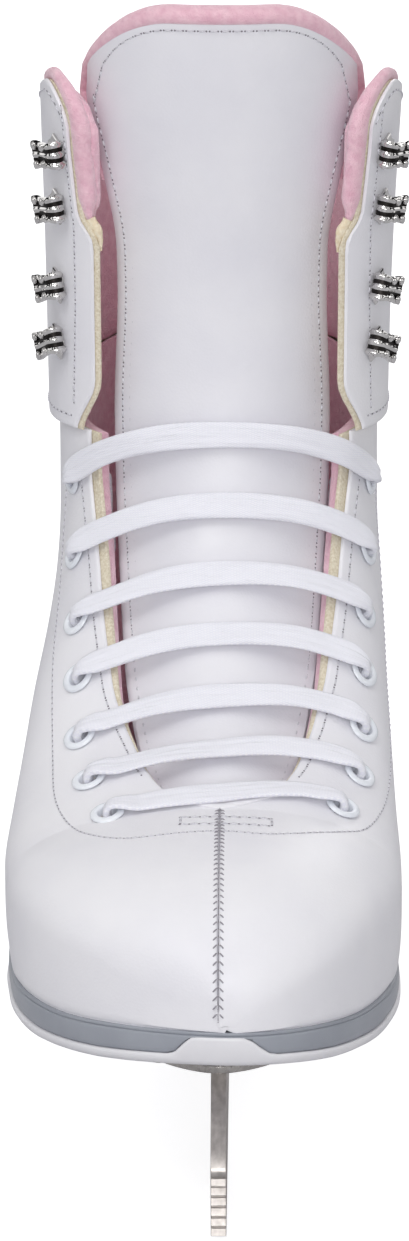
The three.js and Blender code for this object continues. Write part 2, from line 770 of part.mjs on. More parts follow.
const onFootbed = (x, y, above) => new THREE.Vector3(x, y, soleTop(y) + FOOTBED_TOP + above);

function tail(word) {
  const places = TAILS[word].map(([x, y, z]) => (z ? new THREE.Vector3(x, y, z) : onFootbed(x, y, 1.4)));
  return places.map((at, i) => {
    const ahead = places[Math.min(i + 1, places.length - 1)].clone().sub(places[Math.max(i - 1, 0)]);
    const wide = i < 3 ? ACROSS : new THREE.Vector3(0, 0, 1).cross(ahead).normalize();
    const size = i === places.length - 1 ? TIPPED : i < 3 ? NARROW : FLAT;
    return knot(at, wide, size);
  });
}

function laceKnots() {
  const stops = LACE_ORDER.map(([side, row]) => eyelets.find((e) => e.side === side && e.row === row));
  const knots = tail("medial").reverse();
  stops.forEach((stop, i) => {
    const goesIn = i % 2 === 1;
    const other = stops[i + (goesIn ? 1 : -1)];
    const through = throughEyelet(stop, other ? Math.sign(other.row - stop.row) : -1);
    if (goesIn) knots.push(...through);
    else knots.push(...through.reverse());
    const next = stops[i + 1];
    if (!next) return;
    knots.push(...(goesIn ? inside(stop, next) : acrossTheFront(stop, next)));
  });
  return [...knots, ...tail("lateral")];
}

const SECTION = [
  [1, 0],
  [0.75, 1],
  [-0.75, 1],
  [-1, 0],
  [-0.75, -1],
  [0.75, -1],
];

function ribbon(knots) {
  let last = knots[0].wide;
  const rings = knots.map(({ at, wide, size }, i) => {
    const before = knots[Math.max(i - 1, 0)].at;
    const after = knots[Math.min(i + 1, knots.length - 1)].at;
    const tangent = after.clone().sub(before).normalize();
    const flat = wide.clone().addScaledVector(tangent, -wide.dot(tangent)).normalize();
    if (flat.dot(last) < 0) flat.negate();
    last = flat;
    const thick = tangent.clone().cross(flat);
    return SECTION.map(([u, v]) =>
      at.clone().addScaledVector(flat, u * size[0]).addScaledVector(thick, v * size[1]),
    );
  });
  const triangles = [];
  const sides = SECTION.length;
  for (let i = 1; i < rings.length; i++)
    for (let j = 0; j < sides; j++) {
      const k = (j + 1) % sides;
      const [a, b, c, d] = [rings[i - 1][j], rings[i - 1][k], rings[i][k], rings[i][j]];
      triangles.push([a, b, c], [a, c, d]);
    }
  for (const [ring, turned] of [
    [rings[0], true],
    [rings[rings.length - 1], false],
  ])
    for (let j = 1; j < sides - 1; j++)
      triangles.push(turned ? [ring[0], ring[j + 1], ring[j]] : [ring[0], ring[j], ring[j + 1]]);
  return geometryOf(triangles);
}

const knots = laceKnots();
add("lace", ribbon(knots), COLOURS.lace, 0.9);
for (const [word, { at }] of [
  ["medial", knots[0]],
  ["lateral", knots[knots.length - 1]],
]) {
  const aglet = rod(
    AGLET.radius,
    onFootbed(at.x, at.y - GAP, AGLET.radius + 0.6),
    onFootbed(at.x, at.y - GAP - AGLET.length, AGLET.radius + 0.6),
  );
  add(`aglet_${word}`, aglet, COLOURS.tip, 0.2);
}

// ---------------------------------------------------------------- sole unit
// Half-width of the boot against y, where it meets the sole, moved out by a depth and up by a lift.
function footprint(side, depth, lift) {
  const table = [];
  for (let s = -1; s < 7.9; s += 0.05) {
    const b = atSole(side, s, depth, lift);
    const p = boot(side, s, b, depth);
    table.push([p.y, p.x]);
    if (s > 5 && Math.abs(p.x) < 0.01) break;
  }
  return table.sort((p, q) => p[0] - q[0]);
}

const read = (table, at) => {
  const i = table.findIndex(([v]) => v >= at);
  if (i < 0) return table[table.length - 1][1];
  if (i === 0) return table[0][1];
  return lerp(table[i - 1][1], table[i][1], (at - table[i - 1][0]) / (table[i][0] - table[i - 1][0]));
};

// A plate whose plan is the boot's own footprint, between two heights that vary along it.
function solePlate(depth, lift, bottom, top, rows = 24) {
  const [lateral, medial] = [footprint(LATERAL, depth, lift), footprint(MEDIAL, depth, lift)];
  const first = Math.max(lateral[0][0], medial[0][0]);
  const last = Math.min(lateral[lateral.length - 1][0], medial[medial.length - 1][0]);
  const layer = (height) =>
    grid(rows, 1, (u, v) => {
      const y = lerp(first, last, (1 - Math.cos(Math.PI * u)) / 2);
      return new THREE.Vector3(read(v ? medial : lateral, y), y, height(y));
    });
  return shell(layer(top), layer(bottom));
}

const raised = (height, by) => (y) => height(y) + by;

// A plate with a plan symmetrical about the blade: half-width as a function of y.
function platform(from, to, halfWidth, bottom, top, rows = 12) {
  const layer = (height) =>
    grid(rows, 1, (u, v) => {
      const y = lerp(from, to, (1 - Math.cos(Math.PI * u)) / 2);
      return new THREE.Vector3((2 * v - 1) * halfWidth(y), y, height(y));
    });
  return shell(layer(top), layer(bottom));
}

const SHANK = { from: -14, to: 70, half: 7, thickness: 1.2 };
const shankHalf = (grow) => (y) =>
  (SHANK.half + grow) * Math.sqrt(Math.max(0, 1 - (Math.abs(y - 28) / (42 + grow)) ** 8));
function shank(grow, below, above) {
  const [bottom, top] = [raised(soleTop, -below), raised(soleTop, above)];
  return platform(SHANK.from - grow, SHANK.to + grow, shankHalf(grow), bottom, top);
}

const FRONT_SCREWS = [
  [-15, -92],
  [15, -92],
  [-18, -72],
  [18, -72],
  [-11, -52],
  [11, -52],
];
const HEEL_SCREWS = [
  [-14, 70],
  [14, 70],
  [-13, 106],
  [13, 106],
];
const screwHoles = (places, from, to) =>
  places.map(([x, y]) => rod(SCREW.shank + GAP, new THREE.Vector3(x, y, from), new THREE.Vector3(x, y, to)));

add("insole_board", solePlate(-9.4, 3.5, raised(soleTop, GAP), raised(soleTop, 2.3)), COLOURS.board, 0.9);
add("footbed", solePlate(-9.8, 6, raised(soleTop, 2.6), raised(soleTop, FOOTBED_TOP)), COLOURS.plush, 0.95);
add("shank", shank(0, SHANK.thickness + GAP, -GAP), COLOURS.steel, 0.4, 1);
const midsole = solePlate(0.2, 0, raised(soleBottom, 3.3), raised(soleTop, -GAP));
const shankRecess = shank(GAP, SHANK.thickness + 2 * GAP, 2);
add("midsole", cut(midsole, [shankRecess, ...screwHoles(FRONT_SCREWS, 40, 53)]), COLOURS.grey, 0.45);
const outsole = solePlate(-0.4, 0, soleBottom, raised(soleBottom, 3));
add("outsole", cut(outsole, screwHoles(FRONT_SCREWS, 40, 53)), COLOURS.white, 0.5);

// The heel stack narrows downwards and has a straight breast and a round back.
function heelBlock() {
  const [from, to] = [57, 123];
  const layer = (height, shrink) =>
    grid(12, 1, (u, v) => {
      const t = 1 - (1 - u) ** 1.6;
      const y = lerp(from + shrink * 0.6, to - shrink, t);
      const half = (30 - shrink) * Math.sqrt(Math.max(0, 1 - clamp((t - 0.3) / 0.7, 0, 1) ** 3));
      return new THREE.Vector3((2 * v - 1) * half, y, height(y));
    });
  return shell(layer(raised(soleBottom, -GAP), 0), layer(() => HEEL_BLOCK_BOTTOM, 4));
}
add("heel", cut(heelBlock(), screwHoles(HEEL_SCREWS, 30, 50)), COLOURS.grey, 0.45);

// ---------------------------------------------------------------- blade
const frontPlateHalf = (y) =>
  y < -78
    ? 24 * Math.max(0, 1 - ((-78 - y) / 30) ** 1.7) ** 0.6
    : lerp(24, 15, smooth((y + 78) / 34)) * Math.sqrt(Math.max(0, 1 - Math.max(0, (y + 46) / 7) ** 2));
const heelPlateHalf = (y) => 21 * Math.sqrt(Math.max(0, 1 - (Math.abs(y - 89) / 33) ** 4));

function bladePlate(from, to, halfWidth, { bottom, top }, rows, screws) {
  const plate = platform(
    from,
    to,
    halfWidth,
    () => bottom,
    () => top,
    rows,
  );
  return cut(plate, screwHoles(screws, bottom - 5, top + 4));
}
const frontPlate = bladePlate(-108, -39, frontPlateHalf, FOREFOOT_PLATE, 16, FRONT_SCREWS);
const heelPlate = bladePlate(56, 122, heelPlateHalf, HEEL_PLATE, 12, HEEL_SCREWS);
add("sole_plate", frontPlate, COLOURS.steel, 0.35, 1);
add("heel_plate", heelPlate, COLOURS.steel, 0.35, 1);

function bladeProfile() {
  const rocker = (y) => Math.max(0, Math.abs(y) - RUNNER_FLAT) ** 2 / (2 * ROCKER_RADIUS);
  const profile = new THREE.Shape();
  profile.moveTo(-107, rocker(-107));
  const edgePlaces = [-85, -60, -35, -RUNNER_FLAT, RUNNER_FLAT, 35, 60, 85, 110, 126];
  for (const y of edgePlaces) profile.lineTo(y, rocker(y));
  profile.quadraticCurveTo(131, rocker(126) + 1, 131, 8);
  profile.quadraticCurveTo(131, 13, 124, 13.5);
  profile.quadraticCurveTo(108, 15, 110, 24);
  profile.quadraticCurveTo(111, 34, 119, HEEL_PLATE.bottom - GAP);
  profile.lineTo(59, HEEL_PLATE.bottom - GAP);
  profile.quadraticCurveTo(72, 34, 70, 23);
  profile.quadraticCurveTo(68, 15.5, 55, 15);
  profile.lineTo(-40, 15);
  profile.quadraticCurveTo(-56, 15.5, -57, 25);
  profile.quadraticCurveTo(-57, 37, -42, FOREFOOT_PLATE.bottom - GAP);
  profile.lineTo(-101, FOREFOOT_PLATE.bottom - GAP);
  profile.quadraticCurveTo(-104, 38, -119.5, 25.5);
  profile.quadraticCurveTo(-122.5, 22.5, -119, 21);
  const [top, low] = [
    { y: -119.5, z: 19 },
    { y: -111.5, z: 1.2 },
  ];
  for (let i = 0; i < TEETH; i++) {
    const tip = i / (TEETH - 0.55);
    const root = (i + 0.45) / (TEETH - 0.55);
    profile.lineTo(lerp(top.y, low.y, tip) + (i ? 0 : 0.8), lerp(top.z, low.z, tip));
    profile.lineTo(lerp(top.y, low.y, root) + 1.7, lerp(top.z, low.z, root) + (i < TEETH - 1 ? 0 : 1.2));
  }
  return profile;
}
const bladeBody = new THREE.ExtrudeGeometry(bladeProfile(), {
  depth: RUNNER_THICKNESS,
  bevelEnabled: false,
  curveSegments: 5,
});
bladeBody.translate(0, 0, -RUNNER_THICKNESS / 2).rotateY(Math.PI / 2).rotateX(Math.PI / 2);
add("blade", bladeBody, COLOURS.steel, 0.35, 1);

function screw(x, y, plateBottom) {
  const body = lathe(
    [
      [0, -SCREW.headHeight],
      [SCREW.head - 1, -SCREW.headHeight],
      [SCREW.head, -0.5],
      [SCREW.head, 0],
      [SCREW.shank, 0],
      [SCREW.shank, SCREW.length - 1.5],
      [0, SCREW.length],
    ],
    10,
  ).rotateX(Math.PI / 2);
  const slot = new THREE.BoxGeometry(1, 2 * SCREW.head - 2.4, 1.4).translate(0, 0, -SCREW.headHeight);
  return cut(body, [slot]).translate(x, y, plateBottom - GAP);
}
for (const [word, places, plate] of [
  ["front", FRONT_SCREWS, FOREFOOT_PLATE],
  ["heel", HEEL_SCREWS, HEEL_PLATE],
])
  places.forEach(([x, y], i) =>
    add(`${word}_screw_${i + 1}`, screw(x, y, plate.bottom), COLOURS.steel, 0.35, 1),
  );

export default skate;
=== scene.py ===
"""A figure skate for the right foot, dressed in vinyl, plush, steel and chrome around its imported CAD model.

Surface maths is in millimetres, as in the CAD model; meshes are stored in metres."""

import math

import bmesh
import bpy
import numpy as np
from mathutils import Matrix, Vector


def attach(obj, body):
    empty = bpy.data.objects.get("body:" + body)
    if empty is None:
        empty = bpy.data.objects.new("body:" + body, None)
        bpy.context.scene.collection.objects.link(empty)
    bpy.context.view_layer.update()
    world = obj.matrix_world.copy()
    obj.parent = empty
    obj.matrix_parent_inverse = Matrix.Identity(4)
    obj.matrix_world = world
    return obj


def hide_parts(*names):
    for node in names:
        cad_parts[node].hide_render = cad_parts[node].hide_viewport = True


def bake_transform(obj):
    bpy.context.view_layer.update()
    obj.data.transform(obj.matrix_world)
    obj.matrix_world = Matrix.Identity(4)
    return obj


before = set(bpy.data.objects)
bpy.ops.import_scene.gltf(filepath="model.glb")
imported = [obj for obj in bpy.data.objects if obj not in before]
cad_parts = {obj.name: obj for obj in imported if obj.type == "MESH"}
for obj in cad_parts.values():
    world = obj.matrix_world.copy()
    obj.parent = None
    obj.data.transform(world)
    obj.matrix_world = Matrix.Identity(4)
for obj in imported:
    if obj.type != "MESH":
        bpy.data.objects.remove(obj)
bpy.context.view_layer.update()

# ---------------------------------------------------------------- the boot's surface, in millimetres
LATERAL, MEDIAL = -1, 1
SIDES = ((LATERAL, "lateral"), (MEDIAL, "medial"))
NOSE_LENGTH = 65
NOSE_TIP = (4, 63.5)
NOSE_PLAN_POWER = 1.75
NOSE_PROFILE_POWER = 2.4
RIDGE_LEAN = 0.3

# Cross-sections from the ball of the foot to the collar: [ridge y, z, far y, z, lateral and medial
# half-width, place of the widest line, squareness of the front half, squareness of the far half].
STATIONS = np.array([
    [-62, 98.4, -62, 36, 53.6, 45.9, 0.66, 2.2, 3.6],
    [-45, 104, -45, 37, 54.7, 45.9, 0.62, 2.15, 3.6],
    [-28, 112, -24, 44, 53.4, 45, 0.6, 2.1, 3.4],
    [-14, 123.5, 2, 52, 51.4, 44.2, 0.58, 2.1, 3.1],
    [-2, 136, 32, 62, 49, 43.2, 0.58, 2.1, 2.8],
    [9, 148, 66, 69, 46, 42.5, 0.6, 2.15, 2.5],
    [15.5, 159.5, 100, 72, 44, 41.8, 0.63, 2.2, 2.3],
    [19.5, 170, 131, 82, 43.2, 41.1, 0.63, 2.3, 2.3],
    [21.3, 181, 134, 104, 43.1, 40.9, 0.62, 2.4, 2.2],
    [21.8, 192, 131, 130, 43.2, 40.9, 0.6, 2.5, 2.15],
    [21.2, 203, 124.5, 157, 43.4, 41.1, 0.58, 2.6, 2.1],
    [20, 214, 119.5, 182, 43.6, 41.4, 0.56, 2.7, 2.1],
    [17.5, 228, 119, 205, 43.9, 42, 0.55, 2.8, 2.1],
    [14.2, 243, 121, 227, 44.3, 42.8, 0.55, 2.9, 2.1],
    [10.8, 258, 123, 246, 44.7, 43.7, 0.55, 3, 2.1],
    [7.3, 273, 125, 264, 45, 44.4, 0.55, 3, 2.1],
    [3.7, 290, 127, 282, 45.2, 44.9, 0.55, 3, 2.1],
])
LAST_STATION = len(STATIONS) - 1

# Lines given as (y, z) points along the boot.
SOLE_TOP = ((-140, 64.5), (-127, 62.2), (-100, 57.6), (-70, 56), (-45, 57.5), (-20, 63.5), (0, 70.5),
            (25, 79), (50, 86.5), (72, 91), (145, 91))
SOLE_BOTTOM = ((-140, 56), (-127, 53.4), (-110, 49.4), (-90, 47), (-45, 47), (-20, 53), (0, 61),
               (25, 70.5), (50, 78), (72, 82.5), (145, 82.5))
QUARTER_TOP = ((0, 170.5), (64, 171.5), (100, 176), (140, 178))
CUFF_BOTTOM = ((0, 182), (20, 182), (33, 170.5), (60, 169.5), (100, 168), (140, 167))
COLLAR_TOP = ((0, 267), (34, 266.5), (62, 258), (95, 244), (140, 235))

# Half-widths against height of the ridge.
OPENING = ((98.7, 0), (99.2, 8), (100.5, 13), (105, 19.3), (112, 23.2), (122, 26.1), (140, 28.4), (155, 30),
           (171, 32))
FLAP_EDGE = ((182, 35.5), (188, 30.6), (226, 30.8), (232, 34.6), (250, 36.4), (268, 37.4))
TONGUE_HALF_WIDTH = ((96, 12), (101, 14), (105, 17.5), (112, 21), (127, 24.5), (145, 26.3), (170, 28),
                     (228, 29), (246, 33), (262, 37), (292, 37.5))
THROAT_STATION = 0.12
TONGUE_TOP = 290
TONGUE_CORNER = 26
FLAP_HINGE = Vector((48.6, 64, 210))  # on the medial side; its mirror image is the lateral one


def lerp(a, b, t):
    return a + (b - a) * t


def smooth(t):
    t = np.clip(t, 0, 1)
    return t * t * (3 - 2 * t)


def along(table, at):
    """A table read with straight stretches whose corners are rounded by averaging."""
    places, values = zip(*table)
    spread = (places[-1] - places[0]) / 45
    before, here, after = (np.interp(at + k * spread, places, values) for k in (-1, 0, 1))
    return (before + 2 * here + after) / 4


def station(s):
    """The station values at fractional places, by a Catmull-Rom curve."""
    i = np.clip(np.floor(s).astype(int), 0, LAST_STATION - 1)
    t = (s - i)[..., None]
    a, b, d, e = (STATIONS[np.clip(i + k, 0, LAST_STATION)] for k in (-1, 0, 1, 2))
    return b + 0.5 * t * (d - a + t * (2 * a - 5 * b + 4 * d - e + t * (3 * (b - d) + e - a)))


def solve(f, low, high, like=0.0):
    """Root of a function that falls from above zero to below it, at every place at once."""
    low, high = low + 0.0 * np.asarray(like), high + 0.0 * np.asarray(like)
    for _ in range(26):
        middle = (low + high) / 2
        above = f(middle) > 0
        low, high = np.where(above, middle, low), np.where(above, high, middle)
    return (low + high) / 2


def boot(side, s, b, depth=0.0):
    """Points of the boot's outside, moved outwards by depth. side is LATERAL or MEDIAL. s runs from -1 at the
    toe tip, through 0 at the ball, to the collar. b runs round one side: 0 on the ridge at the front, 0.5 on
    the widest line, 1 on the sole or back seam."""
    side, s, b, depth = (np.asarray(v, float) for v in np.broadcast_arrays(side, s, b, depth))
    nose = np.where(s < 0, np.sin(-np.clip(s, -1, 0) * np.pi / 2), 0)
    narrow = (1 - nose**NOSE_PLAN_POWER) ** (1 / NOSE_PLAN_POWER)
    low = (1 - nose**NOSE_PROFILE_POWER) ** (1 / NOSE_PROFILE_POWER)
    row = station(np.maximum(s, 0))
    ry, rz, fy, fz, lateral, medial, share, front, far = (row[..., k] for k in range(9))
    height = np.hypot(ry - fy, rz - fz)
    up = ((ry - fy) / height, (rz - fz) / height)
    lean = side * RIDGE_LEAN * smooth(s / 3) * (1 - smooth((s - 6) / 3))
    power = 2 / np.where(b < 0.5, front + lean, far)
    across = np.where(side == LATERAL, lateral, medial) + depth
    reach = height * np.where(b < 0.5, 1 - share, share) + depth
    turn = np.cos(np.pi * b)
    v = np.sign(turn) * np.abs(turn) ** power * reach
    around = np.abs(np.sin(np.pi * b))
    x = side * around**power * across
    y = lerp(fy, ry, share) + up[0] * v
    z = lerp(fz, rz, share) + up[1] * v
    return np.stack([
        x * narrow + NOSE_TIP[0] * around * nose**3,
        y - (NOSE_LENGTH + depth) * nose,
        lerp(NOSE_TIP[1], z, low),
    ], -1)


def unit(v):
    return v / np.maximum(np.linalg.norm(v, axis=-1, keepdims=True), 1e-9)


def normal(side, s, b):
    """The outward normal of the reference surface."""
    step = 0.01
    ds = boot(side, np.minimum(s + step, LAST_STATION), b) - boot(side, np.maximum(s - step, -1), b)
    db = boot(side, s, np.minimum(b + step, 1)) - boot(side, s, np.maximum(b - step, 0))
    n = unit(np.cross(ds, db))
    away = boot(side, s, b, 1) - boot(side, s, b, 0)
    return n * np.where(np.sum(n * away, -1, keepdims=True) < 0, -1, 1)


def at_width(side, s, x, depth=0.0):
    """b on the front half where the surface is a given distance from the middle plane."""
    return solve(lambda b: x - np.abs(boot(side, s, b, depth)[..., 0]), 0.0, 0.5, s + x)


def from_middle(x, s, depth=0.0):
    """side and b at signed distances from the middle plane, negative on the lateral side."""
    side = np.where(x < 0, LATERAL, MEDIAL)
    return side, at_width(side, s, np.abs(x), depth)


def ridge_station(z):
    return solve(lambda s: z - boot(LATERAL, s, 0)[..., 2], 0.0, float(LAST_STATION), z)


def at_sole(side, s, depth=0.0, lift=0.0):
    """b where the surface meets the top of the sole, or 1 above the heel."""
    def above(b):
        p = boot(side, s, b, depth)
        return p[..., 2] - along(SOLE_TOP, p[..., 1]) - lift
    return np.where(above(np.ones_like(s)) > 0, 1.0, solve(above, 0.5, 1.0, s))


def at_line(side, b_of, line, low, high=float(LAST_STATION), like=0.0):
    """s where the surface crosses a (y, z) line, going up from below."""
    def below(s):
        p = boot(side, s, b_of(s))
        return along(line, p[..., 1]) - p[..., 2]
    return solve(below, low, high, like)


def at_y(side, s, y):
    """b where a section passes a given y, between the ridge and the back."""
    return solve(lambda b: y - boot(side, s, b)[..., 1], 0.02, 0.98, s)
# ---------------------------------------------------------------- camera, floor and light
CAMERA_TARGET = Vector((0, 0, 0.15))
CAMERA_DISTANCE = 1.9
CAMERA_ELEVATION = math.radians(16)
CAMERA_AZIMUTH = math.radians(0.371)
CAMERA_LENS = 213.75
CAMERA_SHIFT = (-0.01362, -0.06164)
FLOOR_REACH = 30
FLOOR_GREY = (205, 205, 208)
FLOOR_GLOW = 0.78
WORLD_STRENGTH = 0.5
DARK_BAND = (0.52, (0.01, 0.01, 0.012, 1))  # what glossy metal mirrors: dark bands between bright ones
BRIGHT_BAND = (0.58, (2.4, 2.4, 2.4, 1))
LIGHTS = (  # name, place, size in metres, watts
    ("key", (-0.75, -1.35, 1.75), 0.9, 10),
    ("front", (0.15, -2.1, 0.8), 0.7, 12),
    ("top", (0.05, -0.35, 1.75), 0.8, 3),
    ("back", (0.3, 1.8, 1.2), 0.9, 8),
)


def add_object(name, data):
    made = bpy.data.objects.new(name, data)
    bpy.context.scene.collection.objects.link(made)
    return made


def set_camera():
    flat = math.cos(CAMERA_ELEVATION)
    forward = Vector((
        -math.sin(CAMERA_AZIMUTH) * flat, math.cos(CAMERA_AZIMUTH) * flat, -math.sin(CAMERA_ELEVATION)
    ))
    data = bpy.data.cameras.new("camera")
    data.sensor_width = 36
    data.lens = CAMERA_LENS
    data.shift_x, data.shift_y = CAMERA_SHIFT
    camera = add_object("camera", data)
    camera.location = CAMERA_TARGET - CAMERA_DISTANCE * forward
    camera.rotation_euler = forward.to_track_quat("-Z", "Y").to_euler()
    bpy.context.scene.camera = camera


def set_floor():
    """A wide pale floor, bright enough to meet the white surroundings without a line."""
    mesh = bpy.data.meshes.new("floor")
    corners = ((-1, -1), (1, -1), (1, 1), (-1, 1))
    mesh.from_pydata([(x * FLOOR_REACH, y * FLOOR_REACH, 0) for x, y in corners], [], [(0, 1, 2, 3)])
    dull_white = {"Emission Color": (1, 1, 1, 1), "Specular IOR Level": 0.1}
    paint = Shader("floor_white", FLOOR_GREY, 0.9, dull_white)
    paint.ranged(paint.node("LightPath").outputs["Is Camera Ray"], "Emission Strength", 0, FLOOR_GLOW)
    mesh.materials.append(paint.material)
    add_object("floor", mesh)


def set_world():
    """White for the camera, half as bright for soft light, and banded in mirror reflections."""
    world = bpy.data.worlds.new("studio")
    bpy.context.scene.world = world
    world.use_nodes = True
    tree = world.node_tree
    rays = new_node(tree, "LightPath").outputs
    direction = new_node(tree, "TexCoord").outputs["Generated"]
    bands = new_node(
        tree, "TexWave", {"Vector": direction}, {"Scale": 1.1, "Distortion": 2.5}, bands_direction="X"
    )
    ramp = new_node(tree, "ValToRGB", {"Fac": bands.outputs["Fac"]})
    for element, (position, colour) in zip(ramp.color_ramp.elements, (DARK_BAND, BRIGHT_BAND)):
        element.position = position
        element.color = colour
    seen = new_node(tree, "Mix", data_type="RGBA")
    seen.inputs[6].default_value = (1, 1, 1, 1)
    tree.links.new(rays["Is Glossy Ray"], seen.inputs[0])
    tree.links.new(ramp.outputs["Color"], seen.inputs[7])
    ranged = {"To Min": WORLD_STRENGTH, "To Max": 1.0}
    strength = new_node(tree, "MapRange", {"Value": rays["Is Camera Ray"]}, ranged)
    background = tree.nodes["Background"].inputs
    tree.links.new(seen.outputs[2], background["Color"])
    tree.links.new(strength.outputs["Result"], background["Strength"])


def set_lights():
    for name, place, size, power in LIGHTS:
        data = bpy.data.lights.new(name, "AREA")
        data.size = size
        data.energy = power
        light = add_object(name, data)
        light.location = place
        light.rotation_euler = (CAMERA_TARGET - light.location).to_track_quat("-Z", "Y").to_euler()
    bpy.context.scene.view_settings.view_transform = "Standard"




# ---------------------------------------------------------------- materials
def linear(rgb):
    """Linear colour of an sRGB one given from 0 to 255."""
    shares = [c / 255 for c in rgb]
    return tuple(c / 12.92 if c <= 0.04045 else ((c + 0.055) / 1.055) ** 2.4 for c in shares)


def new_node(tree, kind, wires=None, values=None, **settings):
    """A shader node with wires into some of its sockets, values for others, and settings."""
    node = tree.nodes.new(f"ShaderNode{kind}")
    for setting, value in settings.items():
        setattr(node, setting, value)
    for socket, value in (values or {}).items():
        node.inputs[socket].default_value = value
    for socket, source in (wires or {}).items():
        tree.links.new(source, node.inputs[socket])
    return node


class Shader:
    """A material with short calls for the nodes that give it its grain."""

    def __init__(self, name, rgb, roughness, sockets=None, coordinates="Object"):
        self.material = bpy.data.materials.new(name)
        self.material.use_nodes = True
        self.surface = self.material.node_tree.nodes["Principled BSDF"].inputs
        values = {"Base Color": (*linear(rgb), 1), "Roughness": roughness, **(sockets or {})}
        for socket, value in values.items():
            self.surface[socket].default_value = value
        self.place = self.node("TexCoord").outputs[coordinates]

    def node(self, kind, wires=None, values=None, **settings):
        return new_node(self.material.node_tree, kind, wires, values, **settings)

    def feed(self, source, socket):
        self.material.node_tree.links.new(source, self.surface[socket])

    def stretched(self, scale):
        return self.node("Mapping", {"Vector": self.place}, {"Scale": scale}).outputs["Vector"]

    def noise(self, scale, detail=2.0, stretch=(1, 1, 1)):
        values = {"Scale": scale, "Detail": detail}
        return self.node("TexNoise", {"Vector": self.stretched(stretch)}, values).outputs["Fac"]

    def cells(self, scale):
        return self.node("TexVoronoi", {"Vector": self.place}, {"Scale": scale}).outputs["Distance"]

    def strands(self, stretch):
        wires, values = {"Vector": self.stretched(stretch)}, {"Scale": 1.0, "Distortion": 0.0}
        return self.node("TexWave", wires, values, bands_direction="DIAGONAL").outputs["Fac"]

    def product(self, a, b):
        return self.node("Math", {0: a, 1: b}, operation="MULTIPLY").outputs["Value"]

    def coloured(self, value, *stops):
        """Base colour from a value, through (position, rgb) stops."""
        ramp = self.node("ValToRGB", {"Fac": value})
        for element, (position, rgb) in zip(ramp.color_ramp.elements, stops):
            element.position = position
            element.color = (*linear(rgb), 1)
        self.feed(ramp.outputs["Color"], "Base Color")

    def ranged(self, value, socket, low, high):
        values = {"To Min": low, "To Max": high}
        self.feed(self.node("MapRange", {"Value": value}, values).outputs["Result"], socket)

    def bumps(self, *layers):
        """Bumps on bumps: (height, strength, distance in metres) each."""
        wires = {}
        for height, strength, distance in layers:
            wires["Height"] = height
            values = {"Strength": strength, "Distance": distance}
            wires["Normal"] = self.node("Bump", wires, values).outputs["Normal"]
        self.feed(wires["Normal"], "Normal")


def leather(name, rgb, darker):
    paint = Shader(name, rgb, 0.42, {"Coat Weight": 0.08, "Coat Roughness": 0.35})
    paint.coloured(paint.noise(38, 3), (0.3, darker), (0.7, rgb))
    paint.ranged(paint.noise(240, 3), "Roughness", 0.36, 0.52)
    paint.bumps((paint.noise(95, 2), 0.25, 0.0006), (paint.cells(1350), 0.22, 0.00016))
    return paint.material


def soft_plush(name, rgb, darker):
    paint = Shader(name, rgb, 0.95, {"Sheen Weight": 0.55, "Sheen Roughness": 0.45})
    paint.coloured(paint.noise(420, 5), (0.32, darker), (0.66, rgb))
    paint.bumps((paint.noise(210, 3), 0.5, 0.0012), (paint.noise(2600, 3), 0.75, 0.0005))
    return paint.material


def fibrous(name, rgb, darker, scale):
    paint = Shader(name, rgb, 0.9)
    paint.coloured(paint.noise(scale, 4), (0.3, darker), (0.68, rgb))
    paint.bumps((paint.noise(scale * 1.7, 3), 0.6, 0.0004))
    return paint.material


def moulded(name, rgb, darker, roughness, scale=900):
    paint = Shader(name, rgb, roughness, {"Coat Weight": 0.15, "Coat Roughness": 0.2})
    paint.coloured(paint.noise(55, 4), (0.3, darker), (0.7, rgb))
    paint.ranged(paint.noise(150, 3), "Roughness", roughness - 0.06, roughness + 0.1)
    paint.bumps((paint.noise(scale, 2), 0.2, 0.00012))
    return paint.material


def metal(name, rgb, darker, roughness, stretch, scale):
    paint = Shader(name, rgb, roughness, {"Metallic": 1.0})
    paint.coloured(paint.noise(scale, 3, stretch), (0.3, darker), (0.7, rgb))
    paint.ranged(paint.noise(scale * 2, 3, stretch), "Roughness", roughness * 0.7, roughness * 1.5)
    paint.bumps((paint.noise(scale * 3, 2, stretch), 0.12, 0.00005))
    return paint.material


def woven_lace():
    """A flat braid: two crossed sets of strands on a ribbon whose UVs are in millimetres."""
    paint = Shader("lace_braid", (240, 240, 249), 0.88, {"Sheen Weight": 0.3}, "UV")
    braid = paint.product(paint.strands((0.42, 1.25, 1)), paint.strands((0.42, -1.25, 1)))
    paint.coloured(braid, (0.0, (235, 235, 245)), (0.5, (245, 245, 250)))
    paint.bumps((paint.noise(1.0, 3, (0.06, 0.8, 1)), 0.75, 0.0009), (braid, 0.25, 0.0002))
    return paint.material


WHITE_VINYL = leather("white_vinyl", (240, 239, 243), (233, 232, 238))
TONGUE_VINYL = leather("tongue_white_vinyl", (236, 235, 240), (229, 228, 235))
PINK_PLUSH = soft_plush("pink_plush", (246, 204, 216), (233, 182, 199))
CREAM_EDGE = fibrous("cream_backing", (238, 230, 211), (212, 199, 172), 1500)
CREAM_FOAM = fibrous("cream_foam", (243, 232, 208), (224, 205, 172), 900)
FIBREBOARD = fibrous("brown_fibreboard", (156, 126, 90), (122, 94, 62), 700)
THERMOPLASTIC = fibrous("tan_stiffener", (186, 170, 142), (160, 143, 114), 420)
THREAD = fibrous("white_thread", (232, 231, 236), (205, 204, 212), 2600)
SEAM_THREAD = fibrous("grey_thread", (172, 169, 176), (146, 143, 151), 2600)
# Grey for the discs at stitch ends: painted shade of the needle holes.
NEEDLE_HOLE_SHADE = fibrous("needle_hole_painted_shade", (140, 135, 144), (116, 110, 121), 1500)
LACE = woven_lace()
TIP = moulded("clear_tip", (232, 235, 240), (218, 222, 230), 0.2)
ENAMEL = moulded("white_enamel", (240, 243, 248), (228, 232, 240), 0.22, 500)
GREY_SOLE = moulded("grey_blue_sole", (156, 160, 169), (144, 148, 158), 0.34)
